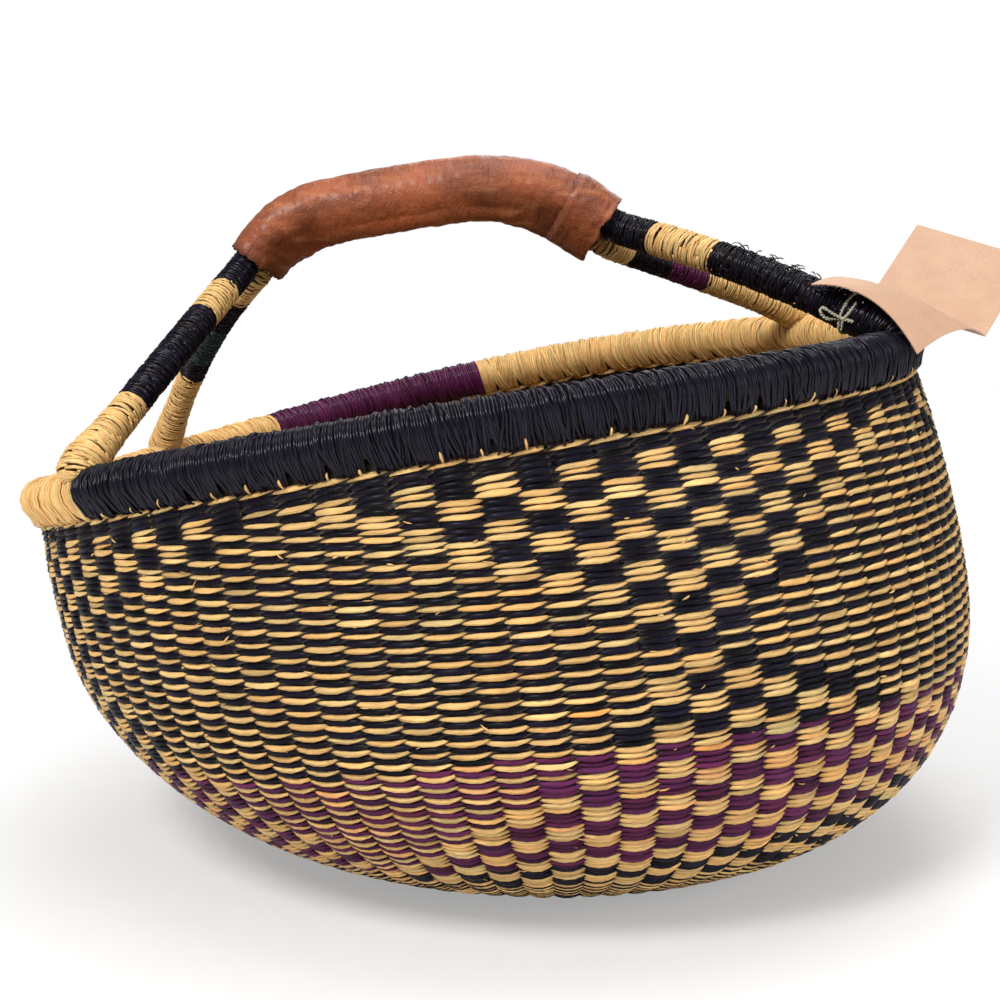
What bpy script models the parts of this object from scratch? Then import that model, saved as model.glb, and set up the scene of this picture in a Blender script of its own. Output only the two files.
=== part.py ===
"""Round market basket, twined from straw, with a wrapped rim and an arched handle.

The woven wall is built of weft bands. Each band has an outer and an inner skin,
because twined weft passes in front of and behind every upright stake. The outer
skin has a rib over every stake. The
stakes stand between the skins, from the base up to the bundle in the rim.
Two bundles arch over the basket and carry a leather grip. A folded card hangs
on a thread from one leg of the handle.

Metres, +Z up. The basket rests on z = 0, with the base centred on the origin.
The viewer stands at -Y, and the rim rises towards +X.
"""
import math

import bmesh
import bpy
from mathutils import Matrix, Vector

# Basket outline
BASE_RADIUS = 0.090
BELLY_RADIUS = 0.2123
MOUTH_DRAW_IN = 0.0098
TOP_RADIUS = BELLY_RADIUS - MOUTH_DRAW_IN
RIM_HEIGHT = 0.2025
RIM_SHIFT = -0.0363
RIM_DIP = -0.0052
RIM_TWIST = 0.0032
BELLY_HEIGHT_share = 0.563
RIM_SLOPE_share = 0.190
LEAN_POWER = 1.5
SLOPE_STEP_share = 0.0001
ROW_STEP_share = 0.001

# Woven wall
WALL = 0.0050
SKIN = 0.0017
GROOVE_DEPTH = 0.0010
GAP = 0.0003
ROW_GAP = 0.0004
STAKE_WIDTH = 0.0030
STAKE_HEEL = 0.025
STAKE_HUB = 0.003
TWINE_DEPTH = 0.0128
FACETS = 48
STAKES = 96
GROOVE_STEPS = 4
PURPLE_BOTTOM_share = 0.20
PURPLE_TOP_share = 0.44

# Rim
RIM_TUBE = 0.0095
RIM_WRAP = 0.0008
CORE_FLAT = 0.0060
RIM_SIDES = 8
PURPLE_RIM_ANGLE = math.radians(90.0)
NATURAL_RIM_ANGLE = math.radians(127.5)
BLACK_RIM_ANGLE = math.radians(217.5)

# Handle, measured from the plane of the rim
HANDLE_RISE = 0.1035
GRIP_REACH = 0.0865
GRIP_MIDDLE = -0.0065
BUNDLE_RADIUS = 0.0055
FOOT_LIFT = 0.0112
FOOT_OVERRUN = 0.0045
LEG_SIDES = 8
LEG_STEPS = 5
LEG_BEND = 0.010
BEND_STEPS = 4
GRIP_STEPS = 10
WRAP_GAP = 0.0004
FRONT_LEFT_RADIUS = 0.0070
REAR_LEFT_RADIUS = 0.0067
FRONT_RIGHT_RADIUS = 0.0078
REAR_RIGHT_RADIUS = 0.0068
FRONT_LEFT_BOW = 0.0005
REAR_LEFT_BOW = 0.0085
FRONT_RIGHT_BOW = 0.0040
REAR_RIGHT_BOW = 0.0010
FRONT_LEFT_FOOT_ANGLE = math.radians(220.5)
REAR_LEFT_FOOT_ANGLE = math.radians(148.5)
FRONT_RIGHT_FOOT_ANGLE = math.radians(333.0)
REAR_RIGHT_FOOT_ANGLE = math.radians(28.0)
LEFT_TWIST_ANGLE = math.radians(-20.0)
MIDDLE_TWIST_ANGLE = math.radians(-75.0)
RIGHT_TWIST_ANGLE = math.radians(-32.0)
# The middle line of the grip: shares of GRIP_REACH from its middle, and of HANDLE_RISE
GRIP_ARCH_shares = (
    (-1.00, 0.79),
    (-0.80, 0.925),
    (-0.59, 0.99),
    (-0.30, 1.00),
    (0.08, 0.992),
    (0.41, 0.963),
    (0.72, 0.852),
    (1.00, 0.643),
)

# Leather
LEATHER = 0.0014
LEATHER_GAP = 0.0007
GRIP_BORE = 0.0120
GRIP_SEAM = 0.0008
SEAM_ANGLE = math.radians(-130.0)
GRIP_SIDES = 16
LEATHER_HUG_ANGLE = math.radians(67.5)
LEATHER_LAP = 0.0030
LEATHER_FROM_share = 0.045
GRIP_TAPER_share = 0.25
GRIP_SLOPE_share = 0.004
STRIP_STEPS = 2
STRIP_GAP = 0.0006

# Hang card. Its corners are measured from the rim's middle line where the card lies over it
CARD = 0.0005
CARD_HOLE = 0.0016
HOLE_CUTTER = 0.005
CARD_ARCH = 0.0065
CARD_DROOP = 0.0085
CARD_LIFT_RISE = 0.004
CARD_STEPS = 6
CREASE_GAP = 0.0008
CARD_SEAT_ANGLE = math.radians(-25.0)
CREASE_LEFT = (0.00287, 0.04528, 0.0151)
CREASE_RIGHT = (0.04427, 0.01808, -0.0088)
FRONT_LEAF_LEFT = (-0.03143, -0.00432, 0.0277)
FRONT_LEAF_RIGHT = (0.00207, -0.02612, -0.0074)
BACK_LEAF_LEFT = (0.04247, 0.06968, 0.0415)
CARD_HOLE_ACROSS_share = 0.17
CARD_HOLE_UP_share = 0.12
THREAD_RADIUS = 0.0008
THREAD_LEG_share = 0.115
THREAD_LOOP_STEPS = 14
THREAD_PITCH = 0.0024
THREAD_UNDER_CREASE = (0.00697, 0.04158, 0.0100)
THREAD_BACK = 0.0028

# Colours, as red, green, blue and roughness
NATURAL = (0.80, 0.52, 0.20, 0.55)
BLACK = (0.018, 0.016, 0.028, 0.38)
PURPLE = (0.12, 0.022, 0.085, 0.42)
GREEN = (0.018, 0.035, 0.035, 0.42)
WEAVE = (0.30, 0.19, 0.09, 0.50)
PLUM_WEAVE = (0.30, 0.11, 0.09, 0.50)
STRAW_CORE = (0.62, 0.42, 0.18, 0.70)
TAN_LEATHER = (0.38, 0.11, 0.04, 0.45)
KRAFT = (0.72, 0.44, 0.26, 0.80)
THREAD = (0.62, 0.58, 0.42, 0.80)

TURN = 2 * math.pi
FACET = TURN / FACETS


def wall_share(w):
    """Height share of the wall at w: 0 at the base, 1 at the belly, 2 at the rim."""
    if w <= 1:
        return BELLY_HEIGHT_share * (1 - math.cos(w * math.pi / 2))
    return BELLY_HEIGHT_share + (1 - BELLY_HEIGHT_share) * (w - 1)


def wall_at_share(share):
    """The value of w at a height share, the inverse of wall_share."""
    if share <= BELLY_HEIGHT_share:
        return math.acos(1 - share / BELLY_HEIGHT_share) * 2 / math.pi
    return 1 + (share - BELLY_HEIGHT_share) / (1 - BELLY_HEIGHT_share)


def wall_radius(w):
    """Radius of the wall's outer face: an ellipse up to the belly, then a slow curve in."""
    if w <= 1:
        return BASE_RADIUS + (BELLY_RADIUS - BASE_RADIUS) * math.sin(w * math.pi / 2)
    return BELLY_RADIUS - (BELLY_RADIUS - TOP_RADIUS) * (w - 1) ** 2


def wall_face(w, azimuth):
    """Point on the wall's outer face. The wall leans more the higher it is."""
    share = wall_share(w)
    across = wall_radius(w) * math.cos(azimuth)
    lean = share ** LEAN_POWER
    sway = RIM_DIP * math.cos(2 * azimuth) + RIM_TWIST * math.sin(2 * azimuth)
    return Vector((
        across + RIM_SHIFT * lean,
        wall_radius(w) * math.sin(azimuth),
        RIM_HEIGHT * share + RIM_SLOPE_share * lean * across + sway * share ** 2,
    ))


def wall_slopes(w, azimuth):
    """Directions round the wall and up the wall, not normalised."""
    step = SLOPE_STEP_share
    low = max(w - step, 0)
    around = wall_face(w, azimuth + step) - wall_face(w, azimuth - step)
    upward = (wall_face(low + 2 * step, azimuth) - wall_face(low, azimuth)) / (2 * step)
    return around.normalized(), upward


def wall_point(w, azimuth, inset):
    """Point at a depth below the wall's outer face."""
    around, upward = wall_slopes(w, azimuth)
    outward = around.cross(upward).normalized()
    return wall_face(w, azimuth) - outward * inset


def rim_frame(azimuth):
    """Middle of the rim's tube, its outward and its upward direction."""
    around, upward = wall_slopes(2, azimuth)
    upward = (upward - around * upward.dot(around)).normalized()
    return wall_point(2, azimuth, WALL / 2), around.cross(upward), upward


def wall_below_rim(depth, azimuth):
    """The value of w at a depth below the middle of the rim's tube."""
    around, upward = wall_slopes(2, azimuth)
    climb = (upward - around * upward.dot(around)).length
    return 2 - depth / climb


TILT = math.atan(RIM_SLOPE_share)
RIM_X = Vector((math.cos(TILT), 0, math.sin(TILT)))
RIM_Z = Vector((-math.sin(TILT), 0, math.cos(TILT)))
RIM_ORIGIN = Vector((RIM_SHIFT, 0, RIM_HEIGHT))


def over_rim(x, y, z):
    """World place of a point given in the tilted frame of the rim."""
    return RIM_ORIGIN + RIM_X * x + Vector((0, y, 0)) + RIM_Z * z


def material(name, finish):
    made = bpy.data.materials.new(name)
    made.use_nodes = True
    shader = made.node_tree.nodes["Principled BSDF"]
    shader.inputs["Base Color"].default_value = (finish[0], finish[1], finish[2], 1)
    shader.inputs["Roughness"].default_value = finish[3]
    shader.inputs["Metallic"].default_value = 0
    made.diffuse_color = (finish[0], finish[1], finish[2], 1)
    return made


def add_object(name, bm, finish, origin=None):
    """Turn a bmesh into a named object, with its origin where it turns, if it does."""
    mesh = bpy.data.meshes.new(name)
    bm.to_mesh(mesh)
    bm.free()
    made = bpy.data.objects.new(name, mesh)
    if origin is not None:
        mesh.transform(Matrix.Translation(-origin))
        made.location = origin
    mesh.shade_smooth()
    mesh.set_sharp_from_angle(angle=math.radians(40))
    mesh.materials.append(material(name, finish))
    bpy.context.collection.objects.link(made)
    return made


def loft(bm, rings, closed=False):
    """Join rings of points with faces, and cap the two ends unless the loft closes."""
    loops = [[bm.verts.new(point) for point in ring] for ring in rings]
    pairs = list(zip(loops, loops[1:]))
    if closed:
        pairs.append((loops[-1], loops[0]))
    for first, second in pairs:
        for i in range(len(first)):
            j = (i + 1) % len(first)
            bm.faces.new((first[i], first[j], second[j], second[i]))
    if not closed:
        bm.faces.new(loops[0])
        bm.faces.new(loops[-1])
    bmesh.ops.recalc_face_normals(bm, faces=bm.faces)


def fan_triangles(bm):
    """Leave no face with more than four corners."""
    many = [face for face in bm.faces if len(face.verts) > 4]
    bmesh.ops.triangulate(bm, faces=many)


def azimuths():
    return [FACET * i for i in range(FACETS)]


def grooved(outside, inside):
    """More columns of the outer face, with a groove pressed in between every two stakes."""
    columns = []
    after = outside[1:] + outside[:1]
    behind = inside[1:] + inside[:1]
    for corners in zip(outside, after, inside, behind):
        for step in range(GROOVE_STEPS):
            share = step / GROOVE_STEPS
            press = GROOVE_DEPTH / SKIN if step % 2 else 0
            columns.append([near.lerp(far, share).lerp(near_in.lerp(far_in, share), press)
                            for near, far, near_in, far_in in zip(*corners)])
    return columns


def skin_shell(name, outside, inside, finish):
    """A closed skin between two faces. The outer face may have more columns of points."""
    bm = bmesh.new()
    outer = [[bm.verts.new(point) for point in column] for column in outside]
    inner = [[bm.verts.new(point) for point in column] for column in inside]
    steps = len(outer) // len(inner)
    outer.append(outer[0])
    inner.append(inner[0])
    for i in range(len(inner) - 1):
        over = outer[i * steps:(i + 1) * steps + 1]
        for edge, order in ((0, -1), (-1, 1)):
            ridges = [column[edge] for column in over[::2]]
            grooves = [column[edge] for column in over[1::2]]
            floor = [inner[i][edge]] + grooves + [inner[i + 1][edge]]
            for near, ridge, far in zip(floor, ridges, floor[1:]):
                bm.faces.new((near, ridge, far)[::order])
            bm.faces.new(floor[::order])
    for columns in (outer, inner):
        for near, far in zip(columns, columns[1:]):
            for i in range(len(near) - 1):
                corners = (near[i], far[i], far[i + 1], near[i + 1])
                bm.faces.new(corners if columns is outer else corners[::-1])
    add_object(name, bm, finish)


def weft_band(name, levels, finish):
    """The two skins of one band of weft. A level is a function of the azimuth."""
    faces = []
    for inset in (0, SKIN, WALL - SKIN, WALL):
        faces.append([[wall_point(level(azimuth), azimuth, inset) for level in levels]
                      for azimuth in azimuths()])
    skin_shell(name + "_outer", grooved(faces[0], faces[1]), faces[1], finish)
    skin_shell(name + "_inner", faces[2], faces[3], finish)


def at(w):
    return lambda azimuth: w


def below_rim(depth, mix=0.0, w=0.0):
    """A level at a depth below the rim, or part of the way from there down to w."""
    return lambda azimuth: wall_below_rim(depth, azimuth) * (1 - mix) + w * mix


def row_step(w):
    """How much w changes over one gap between rows, on the side that doesn't lean."""
    step = ROW_STEP_share
    side = TURN / 4
    return ROW_GAP * step / (wall_face(w + step, side) - wall_face(w, side)).length


PURPLE_FROM = wall_at_share(PURPLE_BOTTOM_share)
PURPLE_TO = wall_at_share(PURPLE_TOP_share)
LOWER_LEVELS = [PURPLE_FROM * i / 3 for i in range(3)] + [PURPLE_FROM]
PURPLE_LEVELS = [PURPLE_FROM, (PURPLE_FROM + PURPLE_TO) / 2, PURPLE_TO]
WALL_TOP_DEPTH = CORE_FLAT + GAP


def woven_base():
    """A disc with a groove round its edge that holds the heels of the stakes."""
    bm = bmesh.new()
    heel = BASE_RADIUS - STAKE_HEEL
    edge = BASE_RADIUS - ROW_GAP
    profile = (
        (edge, 0), (edge, SKIN), (heel, SKIN),
        (heel, WALL - SKIN), (edge, WALL - SKIN), (edge, WALL),
    )
    rings = []
    for radius, z in profile:
        ring = []
        for azimuth in azimuths():
            ring.append((radius * math.cos(azimuth), radius * math.sin(azimuth), z))
        rings.append(ring)
    loft(bm, rings)
    fan_triangles(bm)
    add_object("woven_base", bm, WEAVE)


def weft_bands():
    gap_low = row_step(PURPLE_FROM)
    gap_high = row_step(PURPLE_TO)
    lower = [at(w) for w in LOWER_LEVELS[:-1]] + [at(PURPLE_FROM - gap_low)]
    weft_band("lower_weft", lower, WEAVE)
    purple = [at(w) for w in PURPLE_LEVELS[:-1]] + [at(PURPLE_TO - gap_high)]
    weft_band("purple_weft", purple, PLUM_WEAVE)
    under_twine = TWINE_DEPTH + ROW_GAP
    upper = [
        at(PURPLE_TO),
        below_rim(under_twine, 2 / 3, PURPLE_TO),
        below_rim(under_twine, 1 / 3, PURPLE_TO),
        below_rim(under_twine),
    ]
    weft_band("upper_weft", upper, WEAVE)
    twine = [below_rim(TWINE_DEPTH), below_rim(WALL_TOP_DEPTH)]
    weft_band("top_twine", twine, NATURAL)


def stake_line(azimuth):
    """Points on the middle of one stake, each with the wall's outward and level directions."""
    levels = [at(w) for w in LOWER_LEVELS[:-1] + PURPLE_LEVELS]
    levels.append(below_rim(TWINE_DEPTH + ROW_GAP, 2 / 3, PURPLE_TO))
    levels.append(below_rim(TWINE_DEPTH + ROW_GAP, 1 / 3, PURPLE_TO))
    levels.append(below_rim(TWINE_DEPTH))
    levels.append(below_rim(WALL_TOP_DEPTH))
    heel = BASE_RADIUS - STAKE_HEEL + GAP + STAKE_HUB
    down = Vector((0, 0, -1))
    radial = Vector((math.cos(azimuth), math.sin(azimuth), 0))
    line = [(radial * heel, down, Vector((-radial.y, radial.x, 0)))]
    for level in levels:
        w = level(azimuth)
        around, upward = wall_slopes(w, azimuth)
        line.append((wall_face(w, azimuth), around.cross(upward).normalized(), around))
    return line


def warp_stakes():
    """The upright stakes: slim three-sided straws between the skins of the weft.

    They start from one ring of bound straw in the groove of the base.
    """
    bm = bmesh.new()
    spread = TURN / STAKES
    crest = SKIN + GAP
    heel = WALL - SKIN - GAP
    hub = []
    for i in range(STAKES):
        azimuth = spread * i
        before = math.floor(azimuth / FACET + spread / TURN) * FACET
        share = (azimuth - before) / FACET
        radial = Vector((math.cos(azimuth), math.sin(azimuth), 0))
        rings = []
        for near, far in zip(stake_line(before), stake_line(before + FACET)):
            middle, outward, level = (a.lerp(b, share) for a, b in zip(near, far))
            back = middle - outward * heel
            side = level * (STAKE_WIDTH / 2)
            rings.append([bm.verts.new(point) for point in
                          (middle - outward * crest, back - side, back + side)])
        for first, second in zip(rings, rings[1:]):
            for k in range(3):
                bm.faces.new((first[k], first[k - 2], second[k - 2], second[k]))
        bm.faces.new(rings[-1])
        inner = radial * (BASE_RADIUS - STAKE_HEEL + GAP)
        floor = bm.verts.new(inner + Vector((0, 0, crest)))
        roof = bm.verts.new(inner + Vector((0, 0, heel)))
        hub.append((rings[0], floor, roof))
    for (near, floor, roof), (far, next_floor, next_roof) in zip(hub, hub[1:] + hub[:1]):
        bm.faces.new((near[1], near[2], roof))
        bm.faces.new((near[2], far[1], next_roof, roof))
        bm.faces.new((near[0], floor, next_floor, far[0]))
        bm.faces.new((floor, roof, next_roof, next_floor))
        bm.faces.new((near[0], far[0], far[1], near[2]))
    bmesh.ops.recalc_face_normals(bm, faces=bm.faces)
    add_object("warp_stakes", bm, STRAW_CORE)


def rim_arc(radius, opening):
    """Points round the rim's tube, from one lip to the other, open at the bottom."""
    lip = math.asin(opening / radius)
    sweep = TURN - 2 * lip
    points = []
    for i in range(RIM_SIDES + 1):
        angle = -TURN / 4 + lip + sweep * i / RIM_SIDES
        points.append((radius * math.cos(angle), radius * math.sin(angle)))
    return points


def rim_section(azimuth, outline):
    middle, outward, upward = rim_frame(azimuth)
    return [middle + outward * x + upward * y for x, y in outline]


def rim_core():
    """The bundle of bent-over stakes, flat where the wall meets it from below."""
    radius = (RIM_TUBE - RIM_WRAP) * math.cos(TURN / 2 / RIM_SIDES) - GAP
    start = -math.asin(CORE_FLAT / radius)
    sweep = TURN / 2 - 2 * start
    outline = []
    for i in range(RIM_SIDES):
        angle = start + sweep * i / (RIM_SIDES - 1)
        outline.append((radius * math.cos(angle), radius * math.sin(angle)))
    bm = bmesh.new()
    loft(bm, [rim_section(azimuth, outline) for azimuth in azimuths()], closed=True)
    add_object("rim_core", bm, STRAW_CORE)


def rim_wrap(name, start, end, finish):
    """One colour of the rim's wrapping, between two azimuths, each on a facet's edge."""
    opening = WALL / 2 + GAP
    outline = rim_arc(RIM_TUBE, opening) + rim_arc(RIM_TUBE - RIM_WRAP, opening)[::-1]
    trim = GAP / TOP_RADIUS / 2
    angles = [FACET * i for i in range(round(start / FACET), round(end / FACET) + 1)]
    angles[0] += trim
    angles[-1] -= trim
    bm = bmesh.new()
    loft(bm, [rim_section(azimuth, outline) for azimuth in angles])
    add_object(name, bm, finish)


def rim_cutter():
    """A ring a little fatter than the wrapped rim. It cuts the seats of the feet."""
    outline = []
    for i in range(2 * RIM_SIDES):
        angle = TURN * i / (2 * RIM_SIDES)
        radius = RIM_TUBE + GAP
        outline.append((radius * math.cos(angle), radius * math.sin(angle)))
    bm = bmesh.new()
    loft(bm, [rim_section(azimuth, outline) for azimuth in azimuths()], closed=True)
    made = add_object("foot_seat_cutter", bm, STRAW_CORE)
    made.hide_render = True
    made.display_type = "WIRE"
    return made


def smooth_through(points, steps):
    """Catmull-Rom curve through points, with a number of steps between each two."""
    ends = [points[0] * 2 - points[1]] + points + [points[-1] * 2 - points[-2]]
    curve = []
    for i in range(1, len(ends) - 2):
        before, start, end, after = ends[i - 1:i + 3]
        for j in range(steps):
            t = j / steps
            curve.append((
                start * 2
                + (end - before) * t
                + (before * 2 - start * 5 + end * 4 - after) * t ** 2
                + (start * 3 - before - end * 3 + after) * t ** 3
            ) / 2)
    return curve + [points[-1]]


def lengths_along(points):
    """Length from the first point of a line to each of its points."""
    total = [0.0]
    for a, b in zip(points, points[1:]):
        total.append(total[-1] + (b - a).length)
    return total


def place_at(total, length):
    """Place along a line, counted in points, at a length from its first point."""
    for i in range(len(total) - 1):
        if length <= total[i + 1]:
            return i + (length - total[i]) / (total[i + 1] - total[i])
    return len(total) - 1


def grip_curve():
    arch = [Vector((GRIP_REACH * x, 0, HANDLE_RISE * z)) for x, z in GRIP_ARCH_shares]
    shift = Vector((GRIP_MIDDLE, 0, 0))
    return [over_rim(*(spot + shift)) for spot in smooth_through(arch, GRIP_STEPS)]


GRIP_CURVE = grip_curve()
GRIP_LENGTHS = lengths_along(GRIP_CURVE)


def grip_line(u):
    """Middle of the grip at a share of its length, from its left end."""
    place = place_at(GRIP_LENGTHS, u * GRIP_LENGTHS[-1])
    first = min(int(place), len(GRIP_CURVE) - 2)
    return GRIP_CURVE[first].lerp(GRIP_CURVE[first + 1], place - first)


def grip_frame(u):
    """Middle of the grip, its upward direction, and the angle of the pair of bundles.

    The angle is turned from +Y, about the grip, towards the upward direction.
    """
    step = GRIP_SLOPE_share
    low = min(max(u - step, 0), 1 - 2 * step)
    along = (grip_line(low + 2 * step) - grip_line(low)).normalized()
    swing = math.sin(math.pi * u) ** 2
    flat = LEFT_TWIST_ANGLE * (1 - u) + RIGHT_TWIST_ANGLE * u
    twist = flat + (MIDDLE_TWIST_ANGLE - (LEFT_TWIST_ANGLE + RIGHT_TWIST_ANGLE) / 2) * swing
    return grip_line(u), Vector((0, -1, 0)).cross(along), twist


def grip_stations():
    """Shares of the grip's length where the leather and the bundles have a section."""
    span = 1 - 2 * LEATHER_FROM_share
    return [LEATHER_FROM_share + span * i / GRIP_STEPS for i in range(GRIP_STEPS + 1)]


def end_share(u):
    """1 near the ends of the grip and 0 over its middle, with a smooth change."""
    t = (min(u, 1 - u) - 2 * LEATHER_FROM_share) / GRIP_TAPER_share
    t = min(max(t, 0), 1)
    return (1 - t) ** 2 * (1 + 2 * t)


def pair_spacing(u):
    """Half the distance between the two bundles in the grip."""
    left = (FRONT_LEFT_RADIUS + REAR_LEFT_RADIUS) / 2 + GAP
    right = (FRONT_RIGHT_RADIUS + REAR_RIGHT_RADIUS) / 2 + GAP
    middle = BUNDLE_RADIUS + GAP / 2
    return middle + ((left if u < 0.5 else right) - middle) * end_share(u)


def grip_point(side, u):
    middle, rise, twist = grip_frame(u)
    pair = Vector((0, math.cos(twist), 0)) + rise * math.sin(twist)
    return middle + pair * (side * pair_spacing(u))


def leg_points(foot, corner, mouth, bow):
    """From beyond the foot up the leg, and round the bend to just short of the leather."""
    middle, _, upward = rim_frame(foot)
    seat = middle + upward * FOOT_LIFT
    leg = corner - seat
    points = [seat - leg.normalized() * FOOT_OVERRUN]
    bend = 1 - LEG_BEND / leg.length
    for i in range(LEG_STEPS + 1):
        t = bend * i / LEG_STEPS
        points.append(seat + leg * t + RIM_Z * (4 * bow * t * (1 - t)))
    start = points[-1]
    for i in range(1, BEND_STEPS):
        t = i / BEND_STEPS
        points.append(start.lerp(corner, t).lerp(corner.lerp(mouth, t), t))
    return points


class Bow:
    """One bundle of the handle, from its left foot through the grip to its right foot."""

    def __init__(self, side, left_foot, right_foot, left_bow, right_bow):
        grip = [grip_point(side, u) for u in grip_stations()]
        left = leg_points(left_foot, grip_point(side, 0), grip[0], left_bow)
        right = leg_points(right_foot, grip_point(side, 1), grip[-1], right_bow)
        self.points = left + grip + right[::-1]
        self.total = lengths_along(self.points)
        self.frames = self.steady_frames()
        self.left_lap = self.total[len(left)] + LEATHER_LAP
        self.right_lap = self.total[len(left) + GRIP_STEPS] - LEATHER_LAP

    def steady_frames(self):
        """Two directions square to the bundle at each point, carried along without twist."""
        frames = []
        side = None
        for i in range(len(self.points)):
            low = max(i - 1, 0)
            high = min(i + 1, len(self.points) - 1)
            along = (self.points[high] - self.points[low]).normalized()
            side = along.cross(RIM_Z) if side is None else side - along * side.dot(along)
            side.normalize()
            frames.append((side, side.cross(along)))
        return frames

    def ring(self, i, radius):
        side, rise = self.frames[i]
        ring = []
        for k in range(LEG_SIDES):
            angle = TURN * (k + 0.5) / LEG_SIDES
            ring.append(self.points[i] + (side * math.cos(angle) + rise * math.sin(angle)) * radius)
        return ring

    def ring_at(self, place, radius):
        first = min(int(place), len(self.points) - 2)
        near = self.ring(first, radius)
        far = self.ring(first + 1, radius)
        return [a.lerp(b, place - first) for a, b in zip(near, far)]

    def leg_lengths(self, right_side):
        """Lengths along the bow at the foot and inside the leather's end of one leg."""
        if right_side:
            return self.total[-1], self.right_lap
        return 0.0, self.left_lap

    def rings_between(self, start, end, radius):
        first = place_at(self.total, min(start, end))
        last = place_at(self.total, max(start, end))
        places = [first]
        places += [i for i in range(math.ceil(first), math.floor(last) + 1) if first < i < last]
        places.append(last)
        return [self.ring_at(place, radius) for place in places]


FRONT_BOW = Bow(-1, FRONT_LEFT_FOOT_ANGLE, FRONT_RIGHT_FOOT_ANGLE, FRONT_LEFT_BOW, FRONT_RIGHT_BOW)
REAR_BOW = Bow(1, REAR_LEFT_FOOT_ANGLE, REAR_RIGHT_FOOT_ANGLE, REAR_LEFT_BOW, REAR_RIGHT_BOW)


def seat_on_rim(made, cutter):
    """Cut the object to the round of the rim."""
    cut = made.modifiers.new("foot seat", "BOOLEAN")
    cut.operation = "DIFFERENCE"
    cut.solver = "EXACT"
    cut.object = cutter


def bow_core(name, bow, cutter):
    bm = bmesh.new()
    loft(bm, [bow.ring(i, BUNDLE_RADIUS) for i in range(len(bow.points))])
    seat_on_rim(add_object(name, bm, STRAW_CORE), cutter)


def leg_wraps(leg, bow, right_side, radius, colours, cutter):
    """Coloured sleeves up one leg. Each entry gives a name, its top share and finish."""
    foot, top = bow.leg_lengths(right_side)
    start_share = 0.0
    for name, end_share_up, finish in colours:
        start = foot + (top - foot) * start_share
        end = foot + (top - foot) * end_share_up
        trim = WRAP_GAP / 2 if end > start else -WRAP_GAP / 2
        start_trimmed = start + (trim if start_share > 0 else 0)
        end_trimmed = end - (trim if end_share_up < 1 else 0)
        outer = bow.rings_between(start_trimmed, end_trimmed, radius)
        inner = bow.rings_between(start_trimmed, end_trimmed, BUNDLE_RADIUS + GAP)
        bm = bmesh.new()
        loft(bm, outer + inner[::-1], closed=True)
        made = add_object(leg + "_" + name, bm, finish)
        if start_share == 0.0:
            seat_on_rim(made, cutter)
        start_share = end_share_up


FRONT_LEFT_COLOURS = (
    ("foot_natural", 0.27, NATURAL),
    ("low_black", 0.68, BLACK),
    ("mid_natural", 0.82, NATURAL),
    ("top_black", 1.0, BLACK),
)
REAR_LEFT_COLOURS = (
    ("foot_natural", 0.37, NATURAL),
    ("low_black", 0.455, BLACK),
    ("mid_green", 0.64, GREEN),
    ("high_black", 0.81, BLACK),
    ("top_natural", 1.0, NATURAL),
)
FRONT_RIGHT_COLOURS = (
    ("foot_black", 0.565, BLACK),
    ("mid_natural", 0.786, NATURAL),
    ("top_black", 1.0, BLACK),
)
REAR_RIGHT_COLOURS = (
    ("foot_natural", 0.49, NATURAL),
    ("mid_purple", 0.666, PURPLE),
    ("high_black", 0.833, BLACK),
    ("top_natural", 1.0, NATURAL),
)


def leather_offset(u, angle, grow):
    """Reach of the leather from the middle of the grip, in one direction round it.

    The ends hug two legs side by side, and the middle is round.
    """
    if u < 0.5:
        leg = max(FRONT_LEFT_RADIUS, REAR_LEFT_RADIUS)
    else:
        leg = max(FRONT_RIGHT_RADIUS, REAR_RIGHT_RADIUS)
    _, rise, twist = grip_frame(u)
    level = Vector((0, 1, 0))
    end = end_share(u)
    round_part = GRIP_BORE + (leg + LEATHER_GAP - GRIP_BORE) * end + grow
    hug = math.cos(angle - twist) / math.cos(LEATHER_HUG_ANGLE)
    pair = level * math.cos(twist) + rise * math.sin(twist)
    reach = min(max(hug, -1), 1) * pair_spacing(u) * end
    return (level * math.cos(angle) + rise * math.sin(angle)) * round_part + pair * reach


def leather_ring(u, inside, thickness):
    """A nearly closed ring of leather, with its seam low at the front."""
    middle = grip_line(u)
    slit = GRIP_SEAM / GRIP_BORE
    outline = []
    for grow in (inside + thickness, inside):
        arc = []
        for i in range(GRIP_SIDES + 1):
            angle = SEAM_ANGLE + slit / 2 + (TURN - slit) * i / GRIP_SIDES
            arc.append(middle + leather_offset(u, angle, grow))
        outline.append(arc)
    return outline[0] + outline[1][::-1]


def leather_band(name, stations, inside, thickness):
    bm = bmesh.new()
    loft(bm, [leather_ring(u, inside, thickness) for u in stations])
    add_object(name, bm, TAN_LEATHER)


def card_place(spot):
    """World place of a point that is measured from the rim where the card lies over it."""
    x, y, z = spot
    return over_rim(x + TOP_RADIUS * math.cos(CARD_SEAT_ANGLE),
                    y + TOP_RADIUS * math.sin(CARD_SEAT_ANGLE), z)


def flat_leaf(corner, across, up, inset):
    """A grid over a flat leaf, at a depth below its face."""
    square = across.cross(up).normalized()
    rows = []
    for j in range(CARD_STEPS + 1):
        start = corner + up * (j / CARD_STEPS) - square * inset
        rows.append([start + across * (i / CARD_STEPS) for i in range(CARD_STEPS + 1)])
    return rows


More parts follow.
